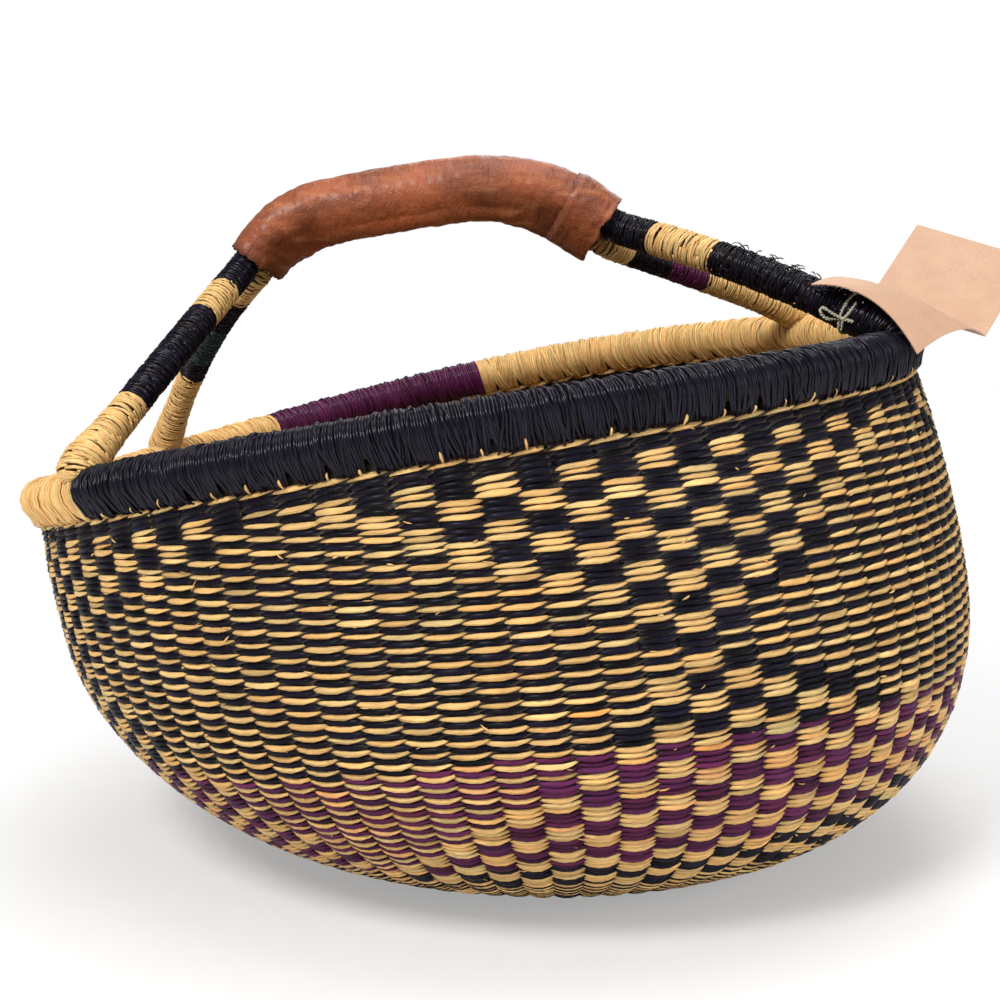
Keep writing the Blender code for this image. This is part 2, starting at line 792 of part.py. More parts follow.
def card_leaf(name, rows_top, rows_bottom, origin):
    """A thin card between two grids of points."""
    bm = bmesh.new()
    top = [[bm.verts.new(point) for point in row] for row in rows_top]
    bottom = [[bm.verts.new(point) for point in row] for row in rows_bottom]
    last = CARD_STEPS
    for j in range(last):
        for i in range(last):
            bm.faces.new((top[j][i], top[j][i + 1], top[j + 1][i + 1], top[j + 1][i]))
            bm.faces.new((bottom[j][i], bottom[j + 1][i], bottom[j + 1][i + 1], bottom[j][i + 1]))
    for i in range(last):
        bm.faces.new((top[0][i], bottom[0][i], bottom[0][i + 1], top[0][i + 1]))
        bm.faces.new((top[last][i], top[last][i + 1], bottom[last][i + 1], bottom[last][i]))
        bm.faces.new((top[i][0], top[i + 1][0], bottom[i + 1][0], bottom[i][0]))
        bm.faces.new((top[i][last], bottom[i][last], bottom[i + 1][last], top[i + 1][last]))
    bmesh.ops.recalc_face_normals(bm, faces=bm.faces)
    return add_object(name, bm, KRAFT, origin)


def back_leaf_frame():
    left, right = card_place(CREASE_LEFT), card_place(CREASE_RIGHT)
    across = right - left
    up = card_place(BACK_LEAF_LEFT) - left
    up -= across * (up.dot(across) / across.length_squared)
    return left, across, up


def card_hole_place():
    left, across, up = back_leaf_frame()
    return left + across * CARD_HOLE_ACROSS_share + up * CARD_HOLE_UP_share


def thread_axis():
    """Where the thread goes round the leg, and the direction of the leg there."""
    foot, top = FRONT_BOW.leg_lengths(True)
    place = place_at(FRONT_BOW.total, foot + (top - foot) * THREAD_LEG_share)
    first = int(place)
    start, end = FRONT_BOW.points[first], FRONT_BOW.points[first + 1]
    return start.lerp(end, place - first), (end - start).normalized()


def lift_axis_place():
    """A point of the line that the card lifts about, above its corner by the leg."""
    return card_place(FRONT_LEAF_LEFT) + Vector((0, 0, CARD_LIFT_RISE))


def back_leaf():
    left, across, up = back_leaf_frame()
    start = up.normalized() * CREASE_GAP / 2
    top = flat_leaf(left + start, across, up - start, 0)
    bottom = flat_leaf(left + start, across, up - start, CARD)
    made = card_leaf("tag_back_leaf", top, bottom, lift_axis_place())
    bm = bmesh.new()
    turn = across.cross(up).to_track_quat("Z", "Y").to_matrix().to_4x4()
    bmesh.ops.create_cone(
        bm, cap_ends=True, segments=LEG_SIDES, radius1=CARD_HOLE, radius2=CARD_HOLE,
        depth=HOLE_CUTTER, matrix=Matrix.Translation(card_hole_place()) @ turn)
    cutter = add_object("card_hole_cutter", bm, KRAFT)
    cutter.hide_render = True
    cutter.display_type = "WIRE"
    cut = made.modifiers.new("card hole", "BOOLEAN")
    cut.operation = "DIFFERENCE"
    cut.solver = "EXACT"
    cut.object = cutter


def front_leaf():
    """The leaf that lies over the rim, between the crease and its outer edge."""
    left, right = card_place(CREASE_LEFT), card_place(CREASE_RIGHT)
    outer_left, outer_right = card_place(FRONT_LEAF_LEFT), card_place(FRONT_LEAF_RIGHT)
    square = (right - left).cross(outer_left - left).normalized()
    rise_up = -square if square.z < 0 else square
    grids = []
    for inset in (0, CARD):
        rows = []
        for j in range(CARD_STEPS + 1):
            v = j / CARD_STEPS
            trim = CREASE_GAP / 2 / (outer_left - left).length * (1 - v)
            row = []
            for i in range(CARD_STEPS + 1):
                u = i / CARD_STEPS
                inner = left.lerp(right, u)
                outer = outer_left.lerp(outer_right, u)
                rise = CARD_ARCH * 4 * v * (1 - v) + CARD_DROOP * 4 * u * (1 - u) * v
                row.append(inner.lerp(outer, v + trim) + rise_up * (rise - inset))
            rows.append(row)
        grids.append(rows)
    card_leaf("tag_front_leaf", grids[0], grids[1], left)


def thread_loop_point(share):
    """A point on the thread's turn round the leg. It ends on top of the leg, at share 1."""
    middle, along = thread_axis()
    toward = card_place(THREAD_UNDER_CREASE) - middle
    toward = (toward - along * toward.dot(along)).normalized()
    side = along.cross(toward)
    radius = FRONT_RIGHT_RADIUS + GAP + THREAD_RADIUS
    angle = TURN * (1 - share) + TURN / 4
    turned = toward * math.cos(angle) + side * math.sin(angle)
    return middle + turned * radius + along * (THREAD_PITCH * (1 / 2 - share))


def thread(name, points, origin):
    curve = bpy.data.curves.new(name, "CURVE")
    curve.dimensions = "3D"
    curve.bevel_depth = THREAD_RADIUS
    curve.bevel_resolution = 1
    curve.use_fill_caps = True
    spline = curve.splines.new("POLY")
    spline.points.add(len(points) - 1)
    for spot, point in zip(spline.points, points):
        spot.co = (*(point - origin), 1)
    curve.materials.append(material(name, THREAD))
    made = bpy.data.objects.new(name, curve)
    made.location = origin
    bpy.context.collection.objects.link(made)


def tag_thread_loop():
    """One turn of the thread round the leg."""
    shares = [i / THREAD_LOOP_STEPS for i in range(THREAD_LOOP_STEPS + 1)]
    thread("tag_thread_loop", [thread_loop_point(share) for share in shares], thread_loop_point(1))


def tag_thread_tail():
    """From the loop under the front leaf, then up through the hole in the back leaf."""
    knot = thread_loop_point(1)
    under = card_place(THREAD_UNDER_CREASE)
    _, across, up = back_leaf_frame()
    out = across.cross(up).normalized() * THREAD_BACK
    hole = card_hole_place()
    start = knot + (under - knot).normalized() * (THREAD_RADIUS + GAP)
    thread("tag_thread_tail", [start, under, hole - out, hole + out], lift_axis_place())


def main():
    for old in list(bpy.data.objects):
        bpy.data.objects.remove(old, do_unlink=True)

    woven_base()
    weft_bands()
    warp_stakes()
    rim_core()
    rim_wrap("rim_wrap_natural_rear", 0, PURPLE_RIM_ANGLE, NATURAL)
    rim_wrap("rim_wrap_purple_rear", PURPLE_RIM_ANGLE, NATURAL_RIM_ANGLE, PURPLE)
    rim_wrap("rim_wrap_natural_left", NATURAL_RIM_ANGLE, BLACK_RIM_ANGLE, NATURAL)
    rim_wrap("rim_wrap_black_front", BLACK_RIM_ANGLE, TURN, BLACK)

    cutter = rim_cutter()
    bow_core("front_bow_core", FRONT_BOW, cutter)
    bow_core("rear_bow_core", REAR_BOW, cutter)
    leg_wraps("front_left", FRONT_BOW, False, FRONT_LEFT_RADIUS, FRONT_LEFT_COLOURS, cutter)
    leg_wraps("rear_left", REAR_BOW, False, REAR_LEFT_RADIUS, REAR_LEFT_COLOURS, cutter)
    leg_wraps("front_right", FRONT_BOW, True, FRONT_RIGHT_RADIUS, FRONT_RIGHT_COLOURS, cutter)
    leg_wraps("rear_right", REAR_BOW, True, REAR_RIGHT_RADIUS, REAR_RIGHT_COLOURS, cutter)

    leather_band("leather_grip", grip_stations(), 0, LEATHER)
    leather_band("leather_end_strip", grip_stations()[-STRIP_STEPS - 1:], LEATHER + STRIP_GAP, LEATHER)

    tag_thread_loop()
    tag_thread_tail()
    back_leaf()
    front_leaf()


main()
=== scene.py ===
"""Round market basket of dyed straw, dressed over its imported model.

Every stitch of the weave, every turn round the rim and the legs, the leather and the card
are pieces of their own. Metres, +Z up. The viewer stands at -Y.
"""

import math

import bpy
import numpy as np
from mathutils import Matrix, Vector, noise


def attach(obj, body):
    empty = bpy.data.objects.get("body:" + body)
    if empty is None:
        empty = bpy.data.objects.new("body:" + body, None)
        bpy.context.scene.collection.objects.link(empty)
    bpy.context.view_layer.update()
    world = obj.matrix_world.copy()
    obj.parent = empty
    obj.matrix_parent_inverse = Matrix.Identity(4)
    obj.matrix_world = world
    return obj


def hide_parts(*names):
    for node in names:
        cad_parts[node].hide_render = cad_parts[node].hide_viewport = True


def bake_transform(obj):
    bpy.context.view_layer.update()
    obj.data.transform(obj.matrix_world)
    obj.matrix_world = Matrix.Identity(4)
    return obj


bl_info = {
    "name": "Round straw basket",
    "version": (1, 0, 0),
    "blender": (4, 5, 0),
    "location": "3D View > Sidebar > Basket",
    "description": "Weaves and dresses a round market basket with a leather grip",
    "category": "Object",
}

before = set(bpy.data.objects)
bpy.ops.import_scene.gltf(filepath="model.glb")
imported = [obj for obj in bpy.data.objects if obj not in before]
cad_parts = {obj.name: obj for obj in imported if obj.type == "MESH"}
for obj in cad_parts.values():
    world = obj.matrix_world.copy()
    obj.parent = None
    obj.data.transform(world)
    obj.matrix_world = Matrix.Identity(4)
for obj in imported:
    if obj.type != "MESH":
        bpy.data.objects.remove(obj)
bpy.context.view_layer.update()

TURN = 2 * math.pi
QUARTER = math.pi / 2

# Wall of the basket
BASE_RADIUS = 0.090
BELLY_RADIUS = 0.2123
TOP_RADIUS = 0.2025
RIM_HEIGHT = 0.2025
RIM_SHIFT = -0.0363
RIM_DIP = -0.0052
RIM_TWIST = 0.0032
BELLY_HEIGHT_SHARE = 0.563
RIM_SLOPE = 0.190
LEAN_POWER = 1.5
WALL = 0.0050
STAKES = 88
COLUMN = TURN / STAKES
RIM_LEVEL = 2.0
TWINE_DEPTH = 0.0122
TWINE_HEIGHT = 0.0026
TABLE_COLUMNS = 360
LENGTH_STEPS = 1000

# Rim, with its tilted frame
RIM_TUBE = 0.0095
TILT = math.atan(RIM_SLOPE)
RIM_X = Vector((math.cos(TILT), 0, math.sin(TILT)))
RIM_Z = Vector((-math.sin(TILT), 0, math.cos(TILT)))
RIM_ORIGIN = Vector((RIM_SHIFT, 0, RIM_HEIGHT))
RIM_COLOURS = (
    ("natural_rear", 0, 90, "gold"),
    ("purple_rear", 90, 127.5, "purple"),
    ("natural_left", 127.5, 221.5, "gold"),
    ("black_front", 221.5, 360, "navy"),
)
LOOSE_SHARE = 0.45
RIM_STRAW_SINK = 0.0006
RIM_WRAP = np.radians(np.linspace(-46, 226, 12))
RIM_PITCH_SHARE = 0.92
NOTCH_RISE = 0.0009
NOTCH_POWER = 1.4
PINCH = 0.30
CLOSE_SWAY = 0.0006
LOOSE_SWAY = 0.0040
LOOSE_LIFT = 0.00062
SLANT = 6
STRAW_END_DEPTH = 0.0112
# The two last points of a straw under the rim: place out from the wall's middle, and rise
STRAW_ENDS = ((0.0016, -0.0006), (0.0042, 0.0010))

# Handle
HANDLE_RISE = 0.1035
GRIP_REACH = 0.0865
GRIP_MIDDLE = -0.0065
BUNDLE_RADIUS = 0.0055
FOOT_LIFT = 0.0112
FOOT_OVERRUN = 0.0045
FOOT_TUCK = 0.0070
FOOT_TURN_IN = 0.45
LEG_STEPS = 5
LEG_BEND = 0.010
BEND_STEPS = 4
GRIP_STEPS = 10
BUNDLE_GAP = 0.0003
# Radius, bow and foot azimuth in degrees of each leg
LEGS = {
    "front_left": (0.0070, 0.0005, 220.5),
    "rear_left": (0.0067, 0.0085, 148.5),
    "front_right": (0.0078, 0.0040, 333.0),
    "rear_right": (0.0068, 0.0010, 28.0),
}
LEFT_TWIST = math.radians(-20.0)
MIDDLE_TWIST = math.radians(-75.0)
RIGHT_TWIST = math.radians(-32.0)
GRIP_ARCH = (
    (-1.00, 0.79), (-0.80, 0.925), (-0.59, 0.99), (-0.30, 1.00),
    (0.08, 0.992), (0.41, 0.963), (0.72, 0.852), (1.00, 0.643),
)

# Leather
LEATHER = 0.0014
LEATHER_LAP = 0.0030
LEATHER_GAP = 0.0007
GRIP_BORE = 0.0120
SEAM_ANGLE = math.radians(-130.0)
LEATHER_HUG = math.radians(67.5)
LEATHER_FROM = 0.045
GRIP_TAPER = 0.25
LEATHER_ROWS = 96
LEATHER_FOLD = 50
LAP_STEP = 1.15
LAP_EDGE = 0.0006
EDGE_SINK = 0.0010

# Hang card, in the frame of the rim
CARD = 0.0005
CARD_HOLE = 0.0016
CARD_ARCH = 0.0065
CARD_DROOP = 0.0085
CARD_STEPS = 28
CARD_FOLD = 40
CREASE_GAP = 0.0008
CREASE_LEFT = (0.1864, -0.0403, 0.0151)
CREASE_RIGHT = (0.2278, -0.0675, -0.0088)
FRONT_LEAF_LEFT = (0.1521, -0.0899, 0.0277)
FRONT_LEAF_RIGHT = (0.1856, -0.1117, -0.0074)
BACK_LEAF_LEFT = (0.2260, -0.0159, 0.0415)
CARD_HOLE_ACROSS = 0.17
CARD_HOLE_UP = 0.12
THREAD_RADIUS = 0.0008
THREAD_LEG_SHARE = 0.115
THREAD_UNDER_CREASE = (0.1905, -0.0440, 0.0100)
THREAD_BACK = 0.0028
THREAD_GAP = 0.0004
THREAD_TWIST = 330
LOOP_STEPS = 14
LOOP_CLIMB = 0.0024

# Weave: where the dark straw turns purple and back, as azimuth in degrees and height share
PURPLE_FROM_LINE = ((205, 0.09), (241, 0.111), (260, 0.163), (274, 0.193), (293, 0.202),
                    (308, 0.235), (326, 0.269), (380, 0.25), (450, 0.18), (510, 0.12))
PURPLE_TO_LINE = ((205, 0.31), (238, 0.355), (256, 0.409), (272, 0.44), (284, 0.45),
                  (331, 0.445), (380, 0.42), (450, 0.38), (510, 0.33))
# Striped diamonds: middle azimuth, half width in degrees, middle share, height up and down
DIAMONDS = (
    (249, 38, 0.60, 0.305, 0.46),
    (328, 37, 0.60, 0.335, 0.20),
    (64, 40, 0.60, 0.31, 0.33),
    (154, 40, 0.60, 0.31, 0.36),
)
ROUNDING = 1.12
# Each piece of the weave, with its top, the CAD band that it stands for and the name of a
# material slot
BANDS = (
    ("foot_stitches", 0.07, "lower_weft", "mixed_weave"),
    ("lower_stitches", 0.20, "lower_weft", "mixed_weave"),
    ("purple_stitches", 0.44, "purple_weft", "plum_weave"),
    ("upper_stitches", 0.70, "upper_weft", "mixed_weave"),
    ("top_stitches", 2.00, "upper_weft", "mixed_weave"),
)
PLAIN_FOOT_SHARE = 0.125
CHECK_ROWS = 3
DARK_TOP_ROWS = 2
RIM_ROWS = 2
EASE_ROWS = 3

# One stitch: its tips and sag as shares of its half length and height, the rest in metres
LEAN_OF_TIPS = 0.33
TIP_CLIMB = 0.34
LOW_SAG = 0.30
HIGH_SAG = 0.06
STITCH_LAP = 1.16
LONG_STITCH = 0.0072
STITCH_SINK = 0.0006
STITCH_LEAN = 0.00028
STITCH_THICKNESS = 0.00062
SHORTEST_STITCH = 0.25
TIP_REACH = 1.15
TIP_DIVE = 2.2
# How much stitches differ from each other
LEAN_SPREAD = 0.25
SHIFT_SPREAD = 0.03
SAG_SPREAD = 0.05
CLIMB_SPREAD = 0.2
LIFT_SPREAD = 0.05
WIDTH_SPREAD = 0.07
LAP_SPREAD = 0.03
DEPTH_SPREAD = 0.00010
THICKNESS_SPREAD = 0.08
WARMTH_SPREAD = 0.06

# Lining, base and dye. The lining is a near-black sheet of painted shade in the gaps of the wall
LINING_FROM = -0.90
LINING_ROWS = 72
LINING_WAVE = 0.00035
LINING_THICKNESS = 0.0004
CLOSEST_STAKES = 0.0040
FEWEST_STAKES = 12
BUTTON_RADIUS = 0.0062
GOLD_SPREAD = 0.11
DARK_SPREAD = 0.30
STAINED_SHARE = 0.12
STAINED_TINT = (1.0, 0.84, 0.88)
WARMER = (0.5, -0.5, -1.4)
DYE_TONES = (0.45, 1.7)

# Bindings and loose straws
SLOTS = {"gold": "natural_straw", "navy": "black_straw", "purple": "purple_straw",
         "green": "green_straw"}
BOUND_WARMER = (0.4, -0.5, -1.0)
BOUND_WARMTH = 0.05
GOLD_BOUND_SPREAD = 0.09
DARK_BOUND_SPREAD = 0.25
TONE_LIMITS = (0.55, 1.5)
# Width as a share of the straw's, its spread, and the thickness
RIM_STRAW = (1.16, 0.10, 0.00100)
LEG_STRAW = (1.18, 0.08, 0.00092)
SLIVER_STEPS = 4
NOTCH_BITS = 72
FRAYED_BITS = 620
LOOSE_ENDS = 46
GRAIN_SHIFT = 9

# Coat weight and relief of each straw that carries its own dye, and the plain straws' tints
STRAWS = {"woven straw": (0.07, 0.00035), "binding straw": (0.24, 0.00016),
          "twisted thread": (0.0, 0.00010)}
PLAIN_RELIEF = 0.0003
# The near-black tint of the second plain straw is painted shade in the gaps of the wall.
PLAIN_STRAWS = {"bundled stems": (0.16, 0.10, 0.045), "painted shade straw": (0.035, 0.022, 0.014)}
PALE_LEATHER = (0.48, 0.165, 0.060)
CARD_CLOUD = (0.62, 0.39, 0.26)
CARD_FLECK = (0.36, 0.19, 0.09)
THREAD_TINT = (0.66, 0.62, 0.47)

# Stage: each lamp's place, size and power, and the camera
LAMPS = {
    "key": ((-0.60, -1.10, 1.25), 0.45, 20.0),
    "top": ((0.10, -0.10, 1.70), 0.90, 12.0),
    "fill": ((1.20, -0.90, 0.60), 0.70, 6.0),
    "back": ((0.2, 1.2, 1.1), 0.90, 6.0),
}
LAMP_AIM = Vector((0, 0, 0.12))
CAMERA_PLACE = (-0.0227, -0.7264, 0.2485)
CAMERA_DROP = 0.127
CAMERA_LENS = 54
ROOM_LIGHT = 0.36


class BasketSizes(bpy.types.PropertyGroup):
    row_pitch: bpy.props.FloatProperty(
        name="Row pitch", description="Height of one row of weft", default=0.00252,
        unit="LENGTH", precision=5)
    stitch_bulge: bpy.props.FloatProperty(
        name="Stitch bulge", description="How far a stitch stands out between its ends",
        default=0.0020, unit="LENGTH", precision=5)
    straw_width: bpy.props.FloatProperty(
        name="Binding straw", description="Width of one straw wound round the rim and legs",
        default=0.00120, unit="LENGTH", precision=5)
    wrinkle_depth: bpy.props.FloatProperty(
        name="Leather wrinkles", description="Height of the folds in the leather grip",
        default=0.0005, unit="LENGTH", precision=5)


class BasketColours(bpy.types.PropertyGroup):
    gold: bpy.props.FloatVectorProperty(
        name="Undyed straw", description="Colour of the undyed golden straw",
        subtype="COLOR", size=3, default=(0.78, 0.485, 0.185), min=0, max=1)
    navy: bpy.props.FloatVectorProperty(
        name="Black straw", description="Colour of the blue-black straw",
        subtype="COLOR", size=3, default=(0.0062, 0.0046, 0.0112), min=0, max=1)
    purple: bpy.props.FloatVectorProperty(
        name="Purple straw", description="Colour of the purple straw",
        subtype="COLOR", size=3, default=(0.088, 0.014, 0.055), min=0, max=1)
    green: bpy.props.FloatVectorProperty(
        name="Green straw", description="Colour of the dark green straw",
        subtype="COLOR", size=3, default=(0.020, 0.036, 0.036), min=0, max=1)
    leather: bpy.props.FloatVectorProperty(
        name="Leather", description="Colour of the worn tan leather",
        subtype="COLOR", size=3, default=(0.325, 0.079, 0.026), min=0, max=1)
    card: bpy.props.FloatVectorProperty(
        name="Kraft card", description="Colour of the bare brown card",
        subtype="COLOR", size=3, default=(0.50, 0.30, 0.19), min=0, max=1)
    floor: bpy.props.FloatVectorProperty(
        name="Floor", description="Colour of the pale floor",
        subtype="COLOR", size=3, default=(0.92, 0.92, 0.92), min=0, max=1)


def sizes():
    return bpy.context.scene.basket_sizes


def colours():
    return bpy.context.scene.basket_colours


def share_of(w):
    """Height of the wall at a level w, as a share of the rim's height."""
    low = BELLY_HEIGHT_SHARE * (1 - np.cos(np.clip(w, 0, 1) * QUARTER))
    return np.where(w <= 1, low, BELLY_HEIGHT_SHARE + (1 - BELLY_HEIGHT_SHARE) * (w - 1))


def wall(w, azimuth):
    """Points on the wall's outer face. w is -1 at the middle of the base, 0 at its edge,
    1 at the belly and 2 at the rim."""
    share = share_of(w)
    belly = BELLY_RADIUS - (BELLY_RADIUS - TOP_RADIUS) * (w - 1) ** 2
    foot = BASE_RADIUS + (BELLY_RADIUS - BASE_RADIUS) * np.sin(w * QUARTER)
    radius = np.where(w > 1, belly, np.where(w > 0, foot, BASE_RADIUS * (1 + w)))
    across = radius * np.cos(azimuth)
    lean = share ** LEAN_POWER
    sway = RIM_DIP * np.cos(2 * azimuth) + RIM_TWIST * np.sin(2 * azimuth)
    return np.stack((
        across + RIM_SHIFT * lean,
        radius * np.sin(azimuth),
        RIM_HEIGHT * share + RIM_SLOPE * lean * across + sway * share ** 2,
    ), -1)


def unit(vectors):
    return vectors / np.linalg.norm(vectors, axis=-1, keepdims=True)


def wall_slopes(w, azimuth):
    """Direction round the wall, and the way up it for each step of w."""
    step = 1e-3
    around = wall(w, azimuth + step) - wall(w, azimuth - step)
    upward = (wall(w + step, azimuth) - wall(w - step, azimuth)) / (2 * step)
    return unit(around), upward


def on_wall(w, azimuth, out):
    """Points at a height over the wall's outer face, negative inside the wall."""
    around, upward = wall_slopes(w, azimuth)
    return wall(w, azimuth) + unit(np.cross(around, upward)) * out[..., None]


def rim_slopes(azimuth):
    """Points of the rim, the direction round it, and the way up the wall square to that."""
    azimuth = np.asarray(azimuth, float)
    level = np.full_like(azimuth, RIM_LEVEL)
    around, upward = wall_slopes(level, azimuth)
    square = upward - around * np.sum(upward * around, -1, keepdims=True)
    return wall(level, azimuth), around, square


def rim_frame(azimuth):
    """Middle of the rim's tube, with the directions out, up and round."""
    edge, around, upward = rim_slopes(azimuth)
    upward = unit(upward)
    outward = np.cross(around, upward)
    return edge - outward * (WALL / 2), outward, upward, around


def depth_level(depth, azimuth):
    """The height w at a depth below the middle of the rim."""
    return RIM_LEVEL - depth / np.linalg.norm(rim_slopes(azimuth)[2], axis=-1)


def over_rim(x, y, z):
    """A place given in the rim's tilted frame."""
    return RIM_ORIGIN + RIM_X * x + Vector((0, y, 0)) + RIM_Z * z


def deselect():
    if bpy.context.object is not None and bpy.context.object.mode != "OBJECT":
        bpy.ops.object.mode_set(mode="OBJECT")
    bpy.ops.object.select_all(action="DESELECT")


def take_pattern():
    """The active object's points and faces as arrays. The object goes."""
    made = bpy.context.object
    mesh = made.data
    points = np.empty(len(mesh.vertices) * 3, np.float32)
    mesh.vertices.foreach_get("co", points)
    faces = [tuple(face.vertices) for face in mesh.polygons]
    bpy.data.objects.remove(made)
    bpy.data.meshes.remove(mesh)
    return points.reshape(-1, 3).astype(float), faces


def face_outward():
    """Turn the active object's faces outward, and leave edit mode."""
    bpy.ops.object.mode_set(mode="EDIT")
    bpy.ops.mesh.select_all(action="SELECT")
    bpy.ops.mesh.normals_make_consistent(inside=False)
    bpy.ops.object.mode_set(mode="OBJECT")


def thicken(made, thickness, offset=-1, even=False):
    """Give the active sheet its thickness."""
    thick = made.modifiers.new("thickness", "SOLIDIFY")
    thick.thickness = thickness
    thick.offset = offset
    thick.use_even_offset = even
    bpy.ops.object.modifier_apply(modifier=thick.name)


def new_grid(name, columns, rows):
    """A flat grid that reaches one each way, to be bent into a sheet."""
    deselect()
    bpy.ops.mesh.primitive_grid_add(x_subdivisions=columns, y_subdivisions=rows, size=2)
    made = bpy.context.object
    made.name = made.data.name = name
    return made


def finish_sheet(made, thickness, crease, finish, even=False):
    """Thicken a bent grid and smooth it, apart from edges that turn more than the crease."""
    thicken(made, thickness, even=even)
    face_outward()
    bpy.ops.object.shade_smooth_by_angle(angle=math.radians(crease))
    made.data.materials.append(finish)
    return made


def resize_where(test, scale):
    """Scale those points of the active object that pass a test."""
    bpy.ops.object.mode_set(mode="OBJECT")
    mesh = bpy.context.object.data
    mesh.edges.foreach_set("select", [False] * len(mesh.edges))
    mesh.polygons.foreach_set("select", [False] * len(mesh.polygons))
    mesh.vertices.foreach_set("select", [test(point.co) for point in mesh.vertices])
    bpy.ops.object.mode_set(mode="EDIT")
    bpy.ops.mesh.select_mode(type="VERT")
    bpy.ops.transform.resize(value=scale, center_override=(0, 0, 0))


def stitch_pattern(sides, rings):
    """One stitch, one long each way from its middle: a flat straw with a slim tip each way."""
    deselect()
    bpy.ops.mesh.primitive_uv_sphere_add(segments=sides, ring_count=rings, radius=1)
    bpy.ops.object.mode_set(mode="EDIT")
    bpy.ops.mesh.select_all(action="SELECT")
    bpy.ops.transform.rotate(value=QUARTER, orient_axis="Y", center_override=(0, 0, 0))
    bpy.ops.transform.rotate(value=math.pi / sides, orient_axis="X", center_override=(0, 0, 0))
    resize_where(lambda spot: abs(spot.x) > 0.8, (1, 1.45, 1.3))
    resize_where(lambda spot: 0.3 < abs(spot.x) < 0.8, (1, 1.14, 1.1))
    resize_where(lambda spot: abs(spot.z) > 0.7, (1, 1, 0.8))
    face_outward()
    return take_pattern()


def straw_pattern(steps, sides):
    """A straight straw of length 1 along Z, with a ring of corners at each step."""
    deselect()
    bpy.ops.mesh.primitive_circle_add(vertices=sides, radius=0.5, fill_type="NGON")
    bpy.ops.object.mode_set(mode="EDIT")
    bpy.ops.mesh.select_all(action="SELECT")
    for _ in range(steps):
        bpy.ops.mesh.extrude_region_move(TRANSFORM_OT_translate={"value": (0, 0, 1 / steps)})
    face_outward()
    return take_pattern()


def copies(name, faces, points, dye, strand, finish):
    """One mesh of many copies of a pattern. points has a row of corners for each copy, and
    dye a colour."""
    count, corners = points.shape[:2]
    totals = np.tile([len(face) for face in faces], count)
    pattern = np.concatenate([np.array(face) for face in faces])
    index = (pattern[None, :] + (np.arange(count) * corners)[:, None]).ravel()
    starts = np.concatenate(([0], np.cumsum(totals)[:-1]))
    mesh = bpy.data.meshes.new(name)
    mesh.vertices.add(count * corners)
    mesh.vertices.foreach_set("co", points.astype(np.float32).ravel())
    mesh.loops.add(len(index))
    mesh.loops.foreach_set("vertex_index", index.astype(np.int32))
    mesh.polygons.add(len(totals))
    mesh.polygons.foreach_set("loop_start", starts.astype(np.int32))
    mesh.update(calc_edges=True)
    mesh.shade_smooth()
    rgba = np.ones((count * corners, 4), np.float32)
    rgba[:, :3] = np.repeat(dye, corners, axis=0)
    mesh.attributes.new("dye", "FLOAT_COLOR", "POINT").data.foreach_set("color", rgba.ravel())
    mesh.attributes.new("strand", "FLOAT_VECTOR", "POINT").data.foreach_set(
        "vector", strand.astype(np.float32).ravel())
    made = bpy.data.objects.new(name, mesh)
    bpy.context.scene.collection.objects.link(made)
    mesh.materials.append(finish)
    return made


def straw_piece(name, paths, sides, width, height, dye, seed, finish, taper=None):
    """Straws bent along paths, each with a colour and with its grain's place in metres.
    paths holds the points of each straw, and the directions across and out at them."""
    path, side, out = paths
    count, rings = path.shape[:2]
    corners, faces = straw_pattern(rings - 1, sides)
    ring = np.rint(corners[:, 2] * (rings - 1)).astype(int)
    share = 1 if taper is None else taper[ring]
    across = side[:, ring] * (corners[:, 0] * (width[:, None] * share))[..., None]
    over = out[:, ring] * (corners[:, 1] * (height[:, None] * share))[..., None]
    steps = np.linalg.norm(np.diff(path, axis=1), axis=-1)
    along = np.concatenate((np.zeros((count, 1)), np.cumsum(steps, 1)), 1)
    start = np.random.default_rng(seed).uniform(0, GRAIN_SHIFT, (count, 1))
    places = np.stack((along[:, ring] + start, corners[:, 0] * width[:, None] + start,
                       corners[:, 1] * height[:, None]), -1)
    return copies(name, faces, path[:, ring] + across + over, dye, places, straw(finish))


def tinted(tint, count, rng, spread, warm=0.0):
    """A colour for each copy: the tint, lighter or darker, and now and then warmer."""
    tone = np.clip(rng.normal(1, spread, (count, 1)), *TONE_LIMITS)
    shift = rng.normal(0, warm, (count, 1)) * np.array([BOUND_WARMER])
    return np.clip(np.array(tint) * tone * (1 + shift), 0, 1)


def bound_tint(tint, count, rng):
    """The colours of straws wound in one of the named tints."""
    spread = GOLD_BOUND_SPREAD if tint == "gold" else DARK_BOUND_SPREAD
    return tinted(getattr(colours(), tint), count, rng, spread, BOUND_WARMTH)


# Materials

def link(tree, start, end):
    tree.links.new(start, end)


def add_node(tree, kind, **values):
    node = tree.nodes.new(kind)
    for key, value in values.items():
        if key in node.inputs:
            node.inputs[key].default_value = value
        else:
            setattr(node, key, value)
    return node


def new_group(name, inputs, outputs):
    tree = bpy.data.node_groups.new(name, "ShaderNodeTree")
    kinds = {"v": "NodeSocketVector", "f": "NodeSocketFloat"}
    for kind, label in inputs:
        tree.interface.new_socket(name=label, in_out="INPUT", socket_type=kinds[kind])
    for kind, label in outputs:
        tree.interface.new_socket(name=label, in_out="OUTPUT", socket_type=kinds[kind])
    return tree, tree.nodes.new("NodeGroupInput"), tree.nodes.new("NodeGroupOutput")


def stretched_noise(tree, source, scale, detail):
    """Noise on coordinates that are stretched by a scale in each direction, per metre."""
    spread = add_node(tree, "ShaderNodeMapping", Scale=scale)
    grain = add_node(tree, "ShaderNodeTexNoise", Scale=1.0, Detail=detail)
    link(tree, source, spread.inputs["Vector"])
    link(tree, spread.outputs["Vector"], grain.inputs["Vector"])
    return grain.outputs["Fac"]


